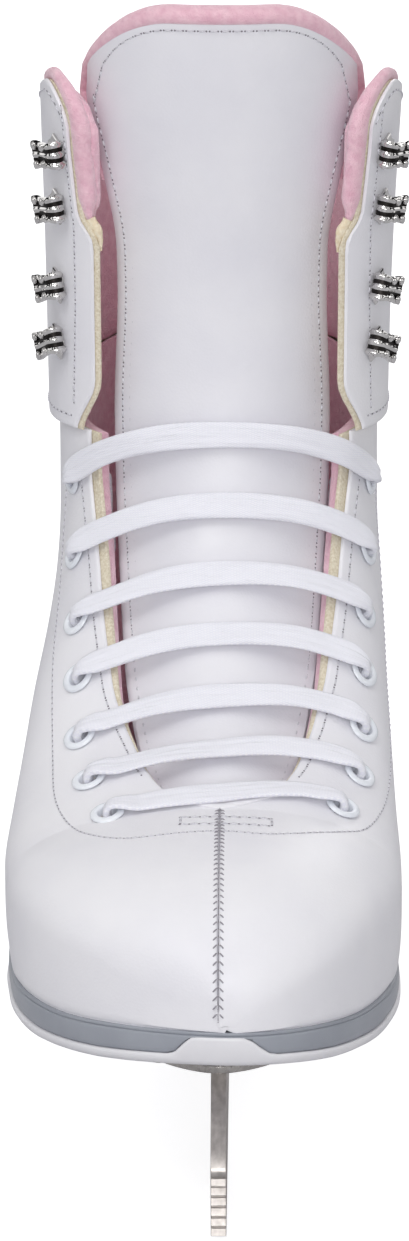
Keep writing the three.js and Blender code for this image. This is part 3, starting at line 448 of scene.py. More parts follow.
WHITE_SOLE = moulded("white_sole", (232, 231, 235), (220, 219, 224), 0.42)
CHROME = metal("chrome", (222, 220, 218), (200, 198, 197), 0.09, (1, 1, 1), 300)
# Dark chrome for the strips in the hooks' hollows: painted shade between the ribs, not dirt.
CHROME_PAINTED_SHADE = metal("chrome_painted_groove_shade", (52, 49, 48), (34, 32, 31), 0.4, (1, 1, 1), 300)
STEEL = metal("brushed_steel", (212, 206, 202), (186, 180, 176), 0.36, (1, 0.05, 1), 700)
PLATE_STEEL = metal("nickelled_steel", (186, 182, 179), (160, 156, 153), 0.26, (1, 0.1, 1), 500)


# ---------------------------------------------------------------- building meshes
WELD = 2e-6  # metres


def add_piece(name, parts, materials, body="boot", replaces=(), sharp=38, uvs=None):
    """One object from (points in mm, faces) parts. materials is one, or one for each part. body is the body
    it rides on, or a function that is called on it, or None if that is done later. Edges stay sharp from
    the angle sharp."""
    mesh = bpy.data.meshes.new(name)
    materials = materials if isinstance(materials, (list, tuple)) else [materials] * len(parts)
    used = list(dict.fromkeys(materials))
    offset, points, faces, indices = 0, [], [], []
    for (part_points, part_faces), material in zip(parts, materials):
        points.append(part_points)
        faces += [[k + offset for k in face] for face in part_faces]
        indices += [used.index(material)] * len(part_faces)
        offset += len(part_points)
    mesh.from_pydata((np.concatenate(points) / 1000).tolist(), [], faces)
    mesh.polygons.foreach_set("material_index", indices)
    for material in used:
        mesh.materials.append(material)
    if uvs is not None:
        layer = mesh.uv_layers.new(name="UVMap")
        loops = np.zeros(len(mesh.loops), int)
        mesh.loops.foreach_get("vertex_index", loops)
        layer.data.foreach_set("uv", np.asarray(uvs)[loops].ravel().astype(np.float32))
    bm = bmesh.new()
    bm.from_mesh(mesh)
    bmesh.ops.remove_doubles(bm, verts=bm.verts, dist=WELD)
    bmesh.ops.recalc_face_normals(bm, faces=bm.faces)
    if bm.calc_volume(signed=True) < 0:
        bmesh.ops.reverse_faces(bm, faces=bm.faces)
    bm.to_mesh(mesh)
    bm.free()
    mesh.shade_smooth()
    mesh.set_sharp_from_angle(angle=math.radians(sharp))
    piece = add_object(name, mesh)
    if callable(body):
        body(piece)
    elif body:
        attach(piece, body)
    if replaces:
        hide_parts(*replaces)
    return piece


def shell(outer, inner, keep=None):
    """A closed shell between two grids of points, with walls round its border and round cells left out."""
    rows, columns = outer.shape[0] - 1, outer.shape[1] - 1
    keep = np.ones((rows, columns), bool) if keep is None else keep
    count = (rows + 1) * (columns + 1)
    index = np.arange(count).reshape(rows + 1, columns + 1)
    a, b, c, d = index[:-1, :-1], index[:-1, 1:], index[1:, 1:], index[1:, :-1]
    corners = np.stack([a, b, c, d], -1)[keep]
    faces = corners.tolist() + (corners[:, ::-1] + count).tolist()
    around = np.pad(keep, 1)
    for down, right, first, second in ((-1, 0, a, b), (0, 1, b, c), (1, 0, c, d), (0, -1, d, a)):
        border = keep & ~around[1 + down : 1 + down + rows, 1 + right : 1 + right + columns]
        p, q = first[border], second[border]
        faces += np.stack([q, p, p + count, q + count], -1).tolist()
    return np.concatenate([outer.reshape(-1, 3), inner.reshape(-1, 3)]), faces


def loft(rings, closed=False):
    """Faces through a row of rings of points. closed joins the last ring to the first, or else both are
    capped."""
    rows, around = rings.shape[:2]
    index = np.arange(rows * around).reshape(rows, around)
    beside = np.roll(index, -1, axis=1)
    last = rows if closed else rows - 1
    faces = np.stack([index, beside, np.roll(beside, -1, 0), np.roll(index, -1, 0)], -1)[:last]
    faces = faces.reshape(-1, 4).tolist()
    if not closed:
        faces += [index[0][::-1].tolist(), index[-1].tolist()]
    return rings.reshape(-1, 3), faces


def circle(count, power=1.0):
    angle = 2 * np.pi * np.arange(count) / count
    c, s = np.cos(angle), np.sin(angle)
    return np.stack([np.sign(c) * np.abs(c) ** power, np.sign(s) * np.abs(s) ** power], -1)


def frames(path, wide):
    """Flat and thick directions along a path, from a rough direction of the width."""
    tangent = unit(np.gradient(path, axis=0))
    wide = np.broadcast_to(np.asarray(wide, float), path.shape)
    flat = unit(wide - np.sum(wide * tangent, -1, keepdims=True) * tangent)
    return flat, np.cross(tangent, flat)


def sweep(path, wide, size, section, closed=False):
    """A section of (width, thickness) points carried along a path, sized by half-width and half-thickness."""
    flat, thick = frames(path, wide)
    size = np.broadcast_to(np.asarray(size, float), (len(path), 2))
    across = flat[:, None] * (section[None, :, 0:1] * size[:, None, 0:1])
    deep = thick[:, None] * (section[None, :, 1:2] * size[:, None, 1:2])
    return loft(path[:, None] + across + deep, closed)


def lathe(profile, sides, point, axis):
    """(radius, height) points turned round an axis. The profile is a ring, or its ends meet the axis."""
    axis = unit(np.asarray(axis, float))
    helper = np.array([0, 0, 1.0]) if abs(axis[2]) < 0.9 else np.array([1.0, 0, 0])
    u = unit(np.cross(helper, axis))
    v = np.cross(axis, u)
    ring = circle(sides)
    direction = ring[:, 0:1] * u + ring[:, 1:2] * v
    profile = np.asarray(profile, float)
    rings = np.asarray(point) + profile[:, None, 0:1] * direction + profile[:, None, 1:2] * axis
    return loft(rings, closed=bool(profile[0, 0] > 0.01))


def resampled(path, step, *others):
    """A path and what goes with it, at even steps along its length."""
    length = np.concatenate([[0], np.cumsum(np.linalg.norm(np.diff(path, axis=0), axis=1))])
    places = np.linspace(0, length[-1], max(2, round(length[-1] / step) + 1))
    return [np.stack([np.interp(places, length, c) for c in np.atleast_2d(v.T)], -1) for v in (path, *others)]


def spline(points, fine=12):
    """A smooth curve through points, with centripetal spacing so that it doesn't overshoot at short steps."""
    steps = np.sqrt(np.maximum(np.linalg.norm(np.diff(points[:, :3], axis=0), axis=1), 1e-6))
    slope = np.diff(points, axis=0) / steps[:, None]
    inner = (slope[:-1] * steps[1:, None] + slope[1:] * steps[:-1, None]) / (steps[1:] + steps[:-1])[:, None]
    tangent = np.concatenate([slope[:1], inner, slope[-1:]])
    curve = []
    for i, step in enumerate(steps):
        t = np.linspace(0, 1, fine, endpoint=False)[:, None]
        curve.append(
            (2 * t**3 - 3 * t**2 + 1) * points[i]
            + (t**3 - 2 * t**2 + t) * step * tangent[i]
            + (3 * t**2 - 2 * t**3) * points[i + 1]
            + (t**3 - t**2) * step * tangent[i + 1]
        )
    return np.concatenate([*curve, points[-1:]])


def plate(outline, levels):
    """A solid from a closed plan outline. levels are (grow, height) rings from bottom to top; height may be a
    function of the ring's points. Both ends close along a spine in the middle plane."""
    tangent = unit(np.roll(outline, -1, 0) - np.roll(outline, 1, 0))
    area = np.sum(outline[:, 0] * np.roll(outline[:, 1], -1) - outline[:, 1] * np.roll(outline[:, 0], -1))
    outward = np.stack([tangent[:, 1], -tangent[:, 0]], -1) * np.sign(area)
    rings = []
    for grow, height in levels:
        ring = outline + outward * grow
        z = height(ring) if callable(height) else np.full(len(ring), float(height))
        rings.append(np.column_stack([ring, z]))
    margin = 0.2 * np.abs(outline[:, 1]).max()

    def spine(ring):
        y = np.clip(ring[:, 1], outline[:, 1].min() + margin, outline[:, 1].max() - margin)
        return np.column_stack([0 * y, y, ring[:, 2]])

    points, faces = loft(np.array([spine(rings[0]), *rings, spine(rings[-1])]))
    return points, faces[:-2]


def baked(piece):
    """The piece's mesh with its modifiers applied."""
    bpy.context.view_layer.update()
    result = bpy.data.meshes.new_from_object(piece.evaluated_get(bpy.context.evaluated_depsgraph_get()))
    piece.modifiers.clear()
    piece.data = result
    return piece


def modify(piece, kind, **settings):
    modifier = piece.modifiers.new(kind, kind)
    for name, value in settings.items():
        setattr(modifier, name, value)
    return modifier


def coordinates(mesh):
    values = np.zeros(len(mesh.vertices) * 3)
    mesh.vertices.foreach_get("co", values)
    return values.reshape(-1, 3)


CLOTH_FRAMES = 16


def inflate(piece, voxel, pressure, limit):
    """Foam under its cover: the mesh is remeshed and swollen by a cloth simulation, no point by more than
    limit metres, then smoothed."""
    modify(piece, "REMESH", mode="VOXEL", voxel_size=voxel)
    baked(piece)
    start = coordinates(piece.data)
    cloth = modify(piece, "CLOTH").settings
    cloth.use_pressure = True
    cloth.uniform_pressure_force = pressure
    cloth.quality = 5
    cloth.effector_weights.gravity = 0
    for frame_number in range(1, CLOTH_FRAMES + 1):
        bpy.context.scene.frame_set(frame_number)
    baked(piece)
    bpy.context.scene.frame_set(1)
    moved = coordinates(piece.data) - start
    distance = np.linalg.norm(moved, axis=1, keepdims=True)
    moved *= np.minimum(1, limit / np.maximum(distance, 1e-9))
    piece.data.vertices.foreach_set("co", (start + moved).ravel())
    modify(piece, "SMOOTH", iterations=6, factor=0.6)
    modify(piece, "SUBSURF", levels=1, render_levels=1)
    baked(piece)
    piece.data.shade_smooth()
    return piece


# ---------------------------------------------------------------- eyelets and lace
# From the toe upwards: height of the ridge level with each eyelet, and its distance from the middle.
EYELET_ROWS = (
    {"lateral": (98.9, 28.2), "medial": (101, 30.9)},
    {"lateral": (104.8, 33.3), "medial": (107.4, 35.2)},
    {"lateral": (113.8, 36), "medial": (116.3, 36.3)},
    {"lateral": (127, 36.7), "medial": (128.2, 36.5)},
    {"lateral": (140, 37.4), "medial": (140.9, 36.8)},
    {"lateral": (156, 38.2), "medial": (155.5, 37.7)},
    {"lateral": (173.2, 39.2), "medial": (173, 38.4)},
)
EYELET_PROFILE = ((2.5, -7), (3.1, -7), (3.1, 0.55), (4.3, 0.45), (4.5, 0.62), (4.42, 0.9), (4.05, 1.16),
                  (3.55, 1.3), (3.05, 1.28), (2.68, 1.1), (2.5, 0.75))


def find_eyelets():
    found = {}
    for row, places in enumerate(EYELET_ROWS):
        for side, word in SIDES:
            height, x = places[word]
            s = ridge_station(np.array(float(height)))
            b = at_width(side, s, float(x))
            found[side, row] = {
                "side": side, "word": word, "row": row, "s": s, "b": b,
                "point": boot(side, s, b), "out": normal(side, s, b),
            }
    return found


EYELETS = find_eyelets()

LACE_ORDER = (
    (MEDIAL, 1), (LATERAL, 1), (LATERAL, 3), (MEDIAL, 3), (MEDIAL, 5), (LATERAL, 5), (LATERAL, 6),
    (MEDIAL, 6), (MEDIAL, 4), (LATERAL, 4), (LATERAL, 2), (MEDIAL, 2), (MEDIAL, 0), (LATERAL, 0),
)
# How far a run is moved aside where it passes an eyelet between its own two, positive away from the tongue.
RUN_ASIDE = {(LATERAL, 2): 5, (LATERAL, 3): -4.2, (MEDIAL, 4): 5, (MEDIAL, 5): -3.6, (MEDIAL, 1): 5}
FLAT, FOLDED, NARROW, TIPPED = (3.4, 0.75), (1.8, 1.2), (2.2, 0.8), (1.4, 1.0)
RUN_DEPTH = 9.3
FOOTBED_TOP = 6
LACE_STEP = 1.1

# Down from the eyelet and along the footbed: (x, y) with z where the lace isn't lying down yet.
TAILS = {
    "medial": (
        (29.5, -36, 85), (30, -38, 75), (30, -44, 68.5), (29, -56), (27, -68), (23, -76), (17, -76),
        (14.5, -67), (15, -48), (17, -24), (17.5, 0), (17.5, 25), (17.5, 50), (17, 72), (15, 84), (11, 88),
        (7.5, 84), (6.5, 70), (6, 45), (6, 20), (6, -5), (6, -30), (6, -52), (6, -66),
    ),
    "lateral": (
        (-24, -57, 83), (-26.5, -56, 73), (-28.5, -58, 66), (-29, -66), (-26, -76), (-20, -76), (-17.5, -67),
        (-18, -48), (-19, -24), (-18.5, 0), (-18, 25), (-18, 50), (-17.5, 72), (-15.5, 84), (-11.5, 88),
        (-8, 84), (-7, 70), (-6.5, 45), (-6.5, 20), (-6.5, -5), (-6.5, -30), (-6.5, -52), (-6.5, -66),
    ),
}


def up_the_boot(side, s, b):
    return unit(boot(side, s + 0.1, b) - boot(side, s - 0.1, b))


def round_the_boot(side, s, b):
    return unit(boot(side, s, b + 0.01) - boot(side, s, b - 0.01))


def knot(at, wide, size):
    return np.concatenate([at, wide, size])


def through_eyelet(eyelet, heading):
    """From outside the boot to inside it, heading up (1) or down (-1) the boot inside."""
    wide = up_the_boot(eyelet["side"], eyelet["s"], eyelet["b"])
    around = round_the_boot(eyelet["side"], eyelet["s"], eyelet["b"])
    point, out = eyelet["point"], eyelet["out"]
    places = (
        (6.3, 2.2, FLAT), (3.7, 2.9, (2.7, 0.9)), (1.2, 2.9, (2, 1)),
        (0, 1.4, FOLDED), (0, -3, FOLDED), (0, -7.9, FOLDED),
    )
    row = [knot(point + out * depth - around * inwards, wide, size) for inwards, depth, size in places]
    return [*row, knot(point - out * 9.7 + wide * 3 * heading, around, NARROW)]


def across_the_front(start, end):
    """The part of a bar between its two eyelets, over the tongue."""
    left, right = (start, end) if start["side"] == LATERAL else (end, start)
    reach = min(-left["point"][0], right["point"][0]) - 8
    bar = []
    for share in (-1, -0.66, -0.33, 0, 0.33, 0.66, 1):
        s = lerp(left["s"], right["s"], (share + 1) / 2)
        side, b = from_middle(share * reach, s)
        bar.append(knot(boot(side, s, b, 1.4 + 0.5 * abs(share)), up_the_boot(side, s, b), FLAT))
    return bar if start is left else bar[::-1]


def inside_run(start, end):
    """Inside, between two eyelets of one side, past the one between them if there is one."""
    side = start["side"]
    between, odd = divmod(start["row"] + end["row"], 2)
    if odd:
        s, b = (start["s"] + end["s"]) / 2, (start["b"] + end["b"]) / 2
        return [knot(boot(side, s, b, -RUN_DEPTH), round_the_boot(side, s, b), NARROW)]
    passed = EYELETS[side, between]
    around = round_the_boot(side, passed["s"], passed["b"])
    at = passed["point"] - passed["out"] * RUN_DEPTH + around * RUN_ASIDE[side, between]
    return [knot(at, around, NARROW)]


def lace_tail(word):
    """Down inside the boot for three points, then flat along the footbed to its tip."""
    places = [
        (x, y, *(z or (float(along(SOLE_TOP, y)) + FOOTBED_TOP + 1.4,))) for x, y, *z in TAILS[word]
    ]
    ahead = unit(np.array([*places[1:], places[-1]]) - np.array([places[0], *places[:-1]]))
    row = [knot(at, (1.0, 0, 0), NARROW) for at in places[:3]]
    row += [knot(at, np.cross((0, 0, 1.0), way), FLAT) for at, way in zip(places[3:-1], ahead[3:-1])]
    return [*row, knot(places[-1], np.cross((0, 0, 1.0), ahead[-1]), TIPPED)]


def lace_knots():
    stops = [EYELETS[place] for place in LACE_ORDER]
    knots = lace_tail("medial")[::-1]
    for i, stop in enumerate(stops):
        goes_in = i % 2 == 1
        neighbour = i + 1 if goes_in else i - 1
        heading = np.sign(stops[neighbour]["row"] - stop["row"]) if 0 <= neighbour < len(stops) else -1
        through = through_eyelet(stop, heading)
        knots += through if goes_in else through[::-1]
        if i + 1 < len(stops):
            knots += inside_run(stop, stops[i + 1]) if goes_in else across_the_front(stop, stops[i + 1])
    knots = np.array(knots + lace_tail("lateral"))
    flat = frames(knots[:, :3], knots[:, 3:6])[0]
    for i in range(1, len(flat)):
        if flat[i] @ flat[i - 1] < 0:
            flat[i] *= -1
    knots[:, 3:6] = flat
    return knots


def add_lace():
    """One flat braided lace: bars outside, runs inside, and both ends tucked in along the footbed."""
    curve = spline(lace_knots())
    path, wide, size = resampled(curve[:, :3], LACE_STEP, curve[:, 3:6], curve[:, 6:8])
    section = circle(16, 0.72)
    section[:, 1] *= 1 - 0.3 * np.exp(-((section[:, 0] / 0.28) ** 2))
    length = np.arange(len(path)) * LACE_STEP
    wider = 1 + 0.03 * np.sin(length / 7.3)
    thicker = 1 + 0.16 * np.sin(length / 4.1) * np.sin(length / 13)
    wide = wide + 0.1 * np.sin(length / 9)[:, None] * np.cross(unit(np.gradient(path, axis=0)), wide)
    ribbon = sweep(path, wide, size * np.stack([wider, thicker], -1), section)
    uvs = np.stack([np.repeat(length, 16), np.tile(section[:, 0] * FLAT[0], len(path))], -1)
    lace = add_piece("flat_lace", [ribbon], LACE, replaces=("lace",), sharp=80, uvs=uvs)


def add_eyelets():
    for eyelet in EYELETS.values():
        name = f"eyelet_{eyelet['word']}_{eyelet['row'] + 1}"
        ring = lathe(EYELET_PROFILE, 36, eyelet["point"], eyelet["out"])
        add_piece(f"enamel_{name}", [ring], ENAMEL, replaces=(name,), sharp=60)


# ---------------------------------------------------------------- the foot of the boot
LINING_TOP = ((0, 170.5), (64, 172.5), (100, 178.5), (140, 180.5))
SEAM = 0.1  # half of the gap at the toe and back seams
SOLE_GAP = 0.6
THROAT_SPREAD = 30  # mm of opening for one unit of s at the throat
LATERAL_WIDER = 1  # how much wider the opening is on the lateral side, above the third eyelet
FOOT_DEPTHS = {"skin": (-1.0, 0), "backing": (-2.3, -1.05), "lining": (-6, -2.45)}


def above_sole(s):
    """How high the back seam's line is above the sole."""
    point = boot(LATERAL, s, 1)
    return point[..., 2] - along(SOLE_TOP, point[..., 1]) - SOLE_GAP


HEEL_STATION = float(solve(lambda s: -above_sole(s), 6.0, 9.0))


def opening(side, s, inset):
    """b at the facing's edge, moved away from the middle by inset; 0 over the toe."""
    height = boot(side, s, 0)[..., 2]
    wider = np.where(side == LATERAL, LATERAL_WIDER * smooth((height - 105) / 15), 0)
    width = np.minimum(THROAT_SPREAD * (s - THROAT_STATION), along(OPENING, height) + inset(height) + wider)
    return np.where(s <= THROAT_STATION, 0.0, at_width(side, s, np.maximum(width, 0)))


def foot_net(side, inset, rows=(34, 104, 15), columns=60, lift=SOLE_GAP, top=QUARTER_TOP):
    """s and b of a net over the foot: rows of the toe, the foot and the ankle, columns from the facing to the
    sole, closest together at the facing. lift is its height above the top of the sole."""
    nose_rows, foot_rows, ankle_rows = rows
    share = np.linspace(0, 1, columns + 1) ** 1.5
    throat = THROAT_STATION + 0.6 * np.linspace(0, 1, 14)[1:] ** 1.4
    fixed = np.concatenate([
        np.linspace(-1, THROAT_STATION, nose_rows + 1), throat,
        np.linspace(throat[-1], HEEL_STATION + 0.01, foot_rows - 12)[1:],
    ])

    def across(s):
        return lerp(opening(side, s, inset), at_sole(side, s, 0, lift), share)

    low = np.repeat(fixed[:, None], columns + 1, 1)
    end = at_line(side, across, top, fixed[-1], like=share)
    climb = np.linspace(0, 1, ankle_rows + 1)[1:, None] ** 0.8
    s = np.concatenate([low, lerp(fixed[-1], end, climb)])
    edge, sole = opening(side, fixed, inset)[:, None], at_sole(side, fixed, 0, lift)[:, None]
    return s, np.concatenate([lerp(edge, sole, share), across(s[len(fixed):])])


def border_fall(points, radius, borders):
    """How far an edge is rounded down, from the distance to the borders: front, back, low or top."""
    def lengths(axis):
        steps = np.linalg.norm(np.diff(points, axis=axis), axis=-1)
        zero = np.zeros_like(np.take(steps, [0], axis))
        return np.concatenate([zero, np.cumsum(steps, axis)], axis)
    across, upwards = lengths(1), lengths(0)
    distances = {
        "front": across, "back": across[:, -1:] - across, "low": upwards, "top": upwards[-1:] - upwards,
    }
    near = np.minimum(np.min([distances[name] for name in borders], axis=0), radius)
    return radius - np.sqrt(radius**2 - (radius - near) ** 2)


def around_eyelets(side, centres, radius):
    """The cells of a net that no eyelet's barrel passes through."""
    keep = np.ones(centres.shape[:2], bool)
    for eyelet in EYELETS.values():
        if eyelet["side"] == side:
            off = centres - eyelet["point"]
            depth = off @ eyelet["out"]
            aside = np.linalg.norm(off - depth[..., None] * eyelet["out"], axis=-1)
            keep &= (aside > radius) | (np.abs(depth) > 14)
    return keep


def layer(side, s, b, depths, radius, borders, holes=None):
    """A sheet of the boot between two depths, with its borders rounded on the outside, except at the very tip
    of the toe, where the two sides have to meet."""
    reference = boot(side, s, b)
    fall = border_fall(reference, radius, borders) * smooth((s + 0.99) / 0.06)
    outer, inner = boot(side, s, b, depths[1] - fall), boot(side, s, b, depths[0] + 0.5 * fall)
    for points in (outer, inner):
        points[..., 0] += side * SEAM
    centres = (reference[:-1, :-1] + reference[1:, 1:]) / 2
    return shell(outer, inner, around_eyelets(side, centres, holes) if holes else None)


def skin_inset(height):
    """The white skin stops short of its backing, most of all towards the ankle."""
    return 0.4 + 1.3 * smooth((height - 104) / 40)


def add_foot():
    for side, word in SIDES:
        net = foot_net(side, skin_inset, lift=-0.5)
        skin = layer(side, *net, FOOT_DEPTHS["skin"], 0.75, ("front", "back", "top"), 3.45)
        add_piece(f"upper_skin_{word}", [skin], WHITE_VINYL, replaces=(f"upper_{word}",))
        net = foot_net(side, lambda height: 0, (20, 64, 8), 40)
        backing = layer(side, *net, FOOT_DEPTHS["backing"], 0.4, ("front", "top"), 3.9)
        add_piece(f"upper_backing_{word}", [backing], CREAM_EDGE)
        net = foot_net(side, lambda height: 0.9, (20, 64, 8), 40, top=LINING_TOP)
        lining = layer(side, *net, FOOT_DEPTHS["lining"], 1.5, ("front", "top"), 3.3)
        piece = add_piece(f"foot_lining_{word}", [lining], PINK_PLUSH, replaces=(f"lining_{word}",))


# ---------------------------------------------------------------- the shaft: flaps, cuff and collar
FLAP_CORNER = 14
MEDIAL_FLAP_WIDER = 1.4
SHAFT_FACE = 2.8
SHAFT_DEPTHS = {"skin": (1.75, SHAFT_FACE), "backing": (0.75, 1.7), "pad": (-4.9, -0.1)}
STATION_HEIGHT = 16  # mm from one station to the next, up the shaft
ROLL = {"side": 1.7, "front": 2.7}  # half-width of the plush roll round the collar and down the flaps
ROLL_END = 229  # height of the ridge where the roll down a flap's front goes under the vinyl
PAD_BOTTOM = ((0, 184.5), (20, 184.5), (33, 174.4), (64, 174.4), (100, 177.4), (140, 179.4))


def shaft_net(side, edge_of, bottom, inset=0.0, rows=44, columns=56):
    """s and b of a net from a flap's front edge (first column) to the back seam, and from the bottom up."""
    share = np.linspace(0, 1, columns + 1) ** 1.3

    def across(s):
        front, hinge = edge_of(s), at_y(side, s, FLAP_HINGE.y)
        return np.where(share < 0.5, lerp(front, hinge, 2 * share), lerp(hinge, 1.0, 2 * share - 1))

    low = at_line(side, across, bottom, 6.5, 14.0, share)
    high = at_line(side, across, COLLAR_TOP, 11.0, like=share)
    reach = np.linalg.norm(boot(side, high, across(high)) - boot(side, high, edge_of(high)), axis=-1)
    corner = np.clip(1 - reach / FLAP_CORNER, 0, 1)
    high = high - ((1 - np.sqrt(1 - corner**2)) * FLAP_CORNER + inset) / STATION_HEIGHT
    climb = (1 - np.cos(np.pi * np.linspace(0, 1, rows + 1)))[:, None] / 2
    s = lerp(low, high, climb)
    return s, across(s)


def flap_edge(side, extra=0.0):
    extra -= MEDIAL_FLAP_WIDER if side == MEDIAL else 0
    return lambda s: at_width(side, s, along(FLAP_EDGE, boot(side, s, 0)[..., 2]) + extra)


def with_flap():
    """Bakes a piece's placement into its mesh."""
    return lambda piece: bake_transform(piece)


def rim(side, s, b):
    """s and b up the front edge from where the roll starts and along the collar to the back seam, and the
    number of the point where the two meet."""
    above = boot(side, s[:, 0], 0)[..., 2] > ROLL_END
    path_s, path_b = (np.concatenate([net[above, 0], net[-1, 1:]]) for net in (s, b))
    return path_s, path_b, np.count_nonzero(above)


def roll_along_rim(side, s, b):
    """The plush roll: wide and soft down the flap's front, slim round the collar."""
    path_s, path_b, turn = rim(side, s, b)
    path = boot(side, path_s, path_b, 0.9)
    out = normal(side, path_s, path_b)
    length = np.concatenate([[0], np.cumsum(np.linalg.norm(np.diff(path, axis=0), axis=1))])
    half = lerp(ROLL["front"], ROLL["side"], smooth((length - length[turn] + 4) / 22))
    half = half * (0.35 + 0.65 * smooth(length / 7))
    path, out, half = resampled(path, 1.2, out, half)
    outward = unit(np.cross(unit(np.gradient(path, axis=0)), out))
    outward *= np.sign(np.sum(outward * (path - path.mean(0))))
    steps = np.arange(len(path)) * 1.2
    half = half[:, 0] * (1 + 0.05 * np.sin(steps / 5.1) * np.sin(steps / 2.3))
    tucked = lerp(0.9, 1.9, (half - ROLL["side"]) / (ROLL["front"] - ROLL["side"]))
    path = path + outward * (half - tucked)[:, None] - out * (0.35 * half)[:, None]
    return sweep(path, outward, np.stack([half, 0.86 * half], -1), circle(14, 0.9))


def foam_tuft(side, s, b):
    """Bare foam where the roll's cover ends, thinning out down the flap's edge."""
    height = boot(side, s[:, 0], 0)[..., 2]
    near = (height > ROLL_END - 8) & (height < ROLL_END + 3)
    path, out = on_boot(side, s[near, 0], b[near, 0], 0.2)
    path, out = resampled(path, 0.5, out)
    inwards = unit(np.cross(out, np.gradient(path, axis=0)))
    inwards *= -side * np.sign(inwards[:, :1])
    share = np.linspace(0, 1, len(path))
    half = lerp(0.4, 1.5, smooth(share * 1.3)) * (1 + 0.07 * np.sin(share * 13))
    path = path + inwards * (half - 0.8)[:, None]
    return sweep(path, inwards, np.stack([half, 0.8 * half], -1), circle(12, 0.9))


def with_both(side, word, flap_node, cuff_node):
    """The CAD nodes of a piece that covers the flap and, on the lateral side, the whole cuff."""
    return (f"{flap_node}_{word}", cuff_node) if side == LATERAL else (f"{flap_node}_{word}",)


def add_shaft():
    for side, word in SIDES:
        bending = with_flap()
        net = shaft_net(side, flap_edge(side, 0.8), CUFF_BOTTOM, 1.0)
        skin = layer(side, *net, SHAFT_DEPTHS["skin"], 0.7, ("front", "low", "top", "back"))
        nodes = with_both(side, word, "flap", "cuff")
        add_piece(f"shaft_skin_{word}", [skin], WHITE_VINYL, bending, nodes)

        net = shaft_net(side, flap_edge(side), CUFF_BOTTOM, 1.2, 30, 36)
        backing = layer(side, *net, SHAFT_DEPTHS["backing"], 0.3, ("front", "low", "top"))
        add_piece(f"shaft_backing_{word}", [backing], CREAM_EDGE, bending)

        net = shaft_net(side, flap_edge(side), CUFF_BOTTOM, 0.6)
        roll = roll_along_rim(side, *net)
        add_piece(f"collar_roll_{word}", [roll], PINK_PLUSH, bending, sharp=80)
        tuft = foam_tuft(side, *net)
        add_piece(f"roll_foam_{word}", [tuft], CREAM_FOAM, body=f"flap_{word}", sharp=80)

        add_collar_pad(side, word)


def add_collar_pad(side, word):
    """The plush-covered foam inside the cuff and flap."""
    def lining_edge(s):
        height = boot(side, s, 0)[..., 2]
        return at_width(side, s, lerp(35.6, 32.8, smooth((height - ROLL_END) / 6)))

    s, b = shaft_net(side, lining_edge, PAD_BOTTOM, 1.0, 30, 34)
    points, faces = layer(side, s, b, SHAFT_DEPTHS["pad"], 2.0, ("front", "low", "top"))
    over_seam = np.tile(smooth((b.ravel() - 0.94) / 0.06), 2)
    points[:, 0] -= side * 1.7 * over_seam
    piece = add_piece(f"collar_pad_{word}", [(points, faces)], PINK_PLUSH, body=None)
    piece = inflate(piece, voxel=0.0028, pressure=3.0, limit=0.0007)
    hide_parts(*with_both(side, word, "flap_lining", "cuff_lining"))
    with_flap()(piece)


# ---------------------------------------------------------------- tongue
TONGUE_SPREAD = 1.5  # how far the soft edges lie beyond the tongue's half-width, under the facings
TONGUE_SKIN_INSET = 0.9
TONGUE_SKIN_TOP = TONGUE_TOP - 4.2
TONGUE_SKIN_CORNER = TONGUE_CORNER - 4
TONGUE_DEPTHS = {"edge": -6.9, "crown": -1.6, "skin": 1.5, "pad": -12.5}


def tongue_net(low, top, narrower, rows, columns, corner_radius=TONGUE_CORNER):
    """side, s, b and face depth of a net over the tongue, from the lateral to the medial edge."""
    share = np.linspace(-1, 1, 2 * columns + 1)
    side = np.where(share < 0, LATERAL, MEDIAL)
    climb = (1 - np.cos(np.pi * np.linspace(0, 1, rows + 1)))[:, None] / 2

    def half(z):
        spread = TONGUE_SPREAD * smooth((215 - z) / 30)
        return np.abs(share) * (along(TONGUE_HALF_WIDTH, z) - narrower + spread)

    from_edge = along(TONGUE_HALF_WIDTH, TONGUE_TOP) - narrower - half(TONGUE_TOP)
    corner = np.clip(1 - from_edge / corner_radius, 0, 1)
    drop = corner_radius * (1 - np.sqrt(1 - corner**2))
    z = lerp(low, top - drop, climb)
    s = ridge_station(z)
    crowned = smooth((s - 0.3) / 1.2) * np.cos(np.pi / 2 * np.abs(share)) ** 2
    face = lerp(TONGUE_DEPTHS["edge"], TONGUE_DEPTHS["crown"], crowned)
    return side, s, at_width(side, s, half(z), TONGUE_DEPTHS["edge"]), face


def with_tongue(piece):
    """Bakes the piece's placement into its mesh."""
    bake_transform(piece)


def add_tongue():
    side, s, b, face = tongue_net(101.6, TONGUE_SKIN_TOP, TONGUE_SKIN_INSET, 90, 24, TONGUE_SKIN_CORNER)
    fall = border_fall(boot(side, s, b, face), 0.8, ("front", "back", "top"))
    outer = boot(side, s, b, face - fall)
    inner = boot(side, s, b, face - TONGUE_DEPTHS["skin"] + 0.3 * fall)
    add_piece("tongue_skin", [shell(outer, inner)], TONGUE_VINYL, with_tongue,
              replaces=("tongue_lower", "tongue_upper"))

    side, s, b, face = tongue_net(97, TONGUE_TOP - 1.0, 0.1, 60, 20)
    fall = border_fall(boot(side, s, b, face), 2.6, ("front", "back", "top"))
    outer = boot(side, s, b, face - 2.3 - fall)
    inner = boot(side, s, b, TONGUE_DEPTHS["pad"] + 1.2 + 0.8 * fall)
    piece = add_piece("tongue_pad", [shell(outer, inner)], PINK_PLUSH, body=None)
    piece = inflate(piece, voxel=0.0034, pressure=4.0, limit=0.0011)
    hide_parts("tongue_pad_lower", "tongue_pad_upper")
    with_tongue(piece)
    add_tongue_roll()


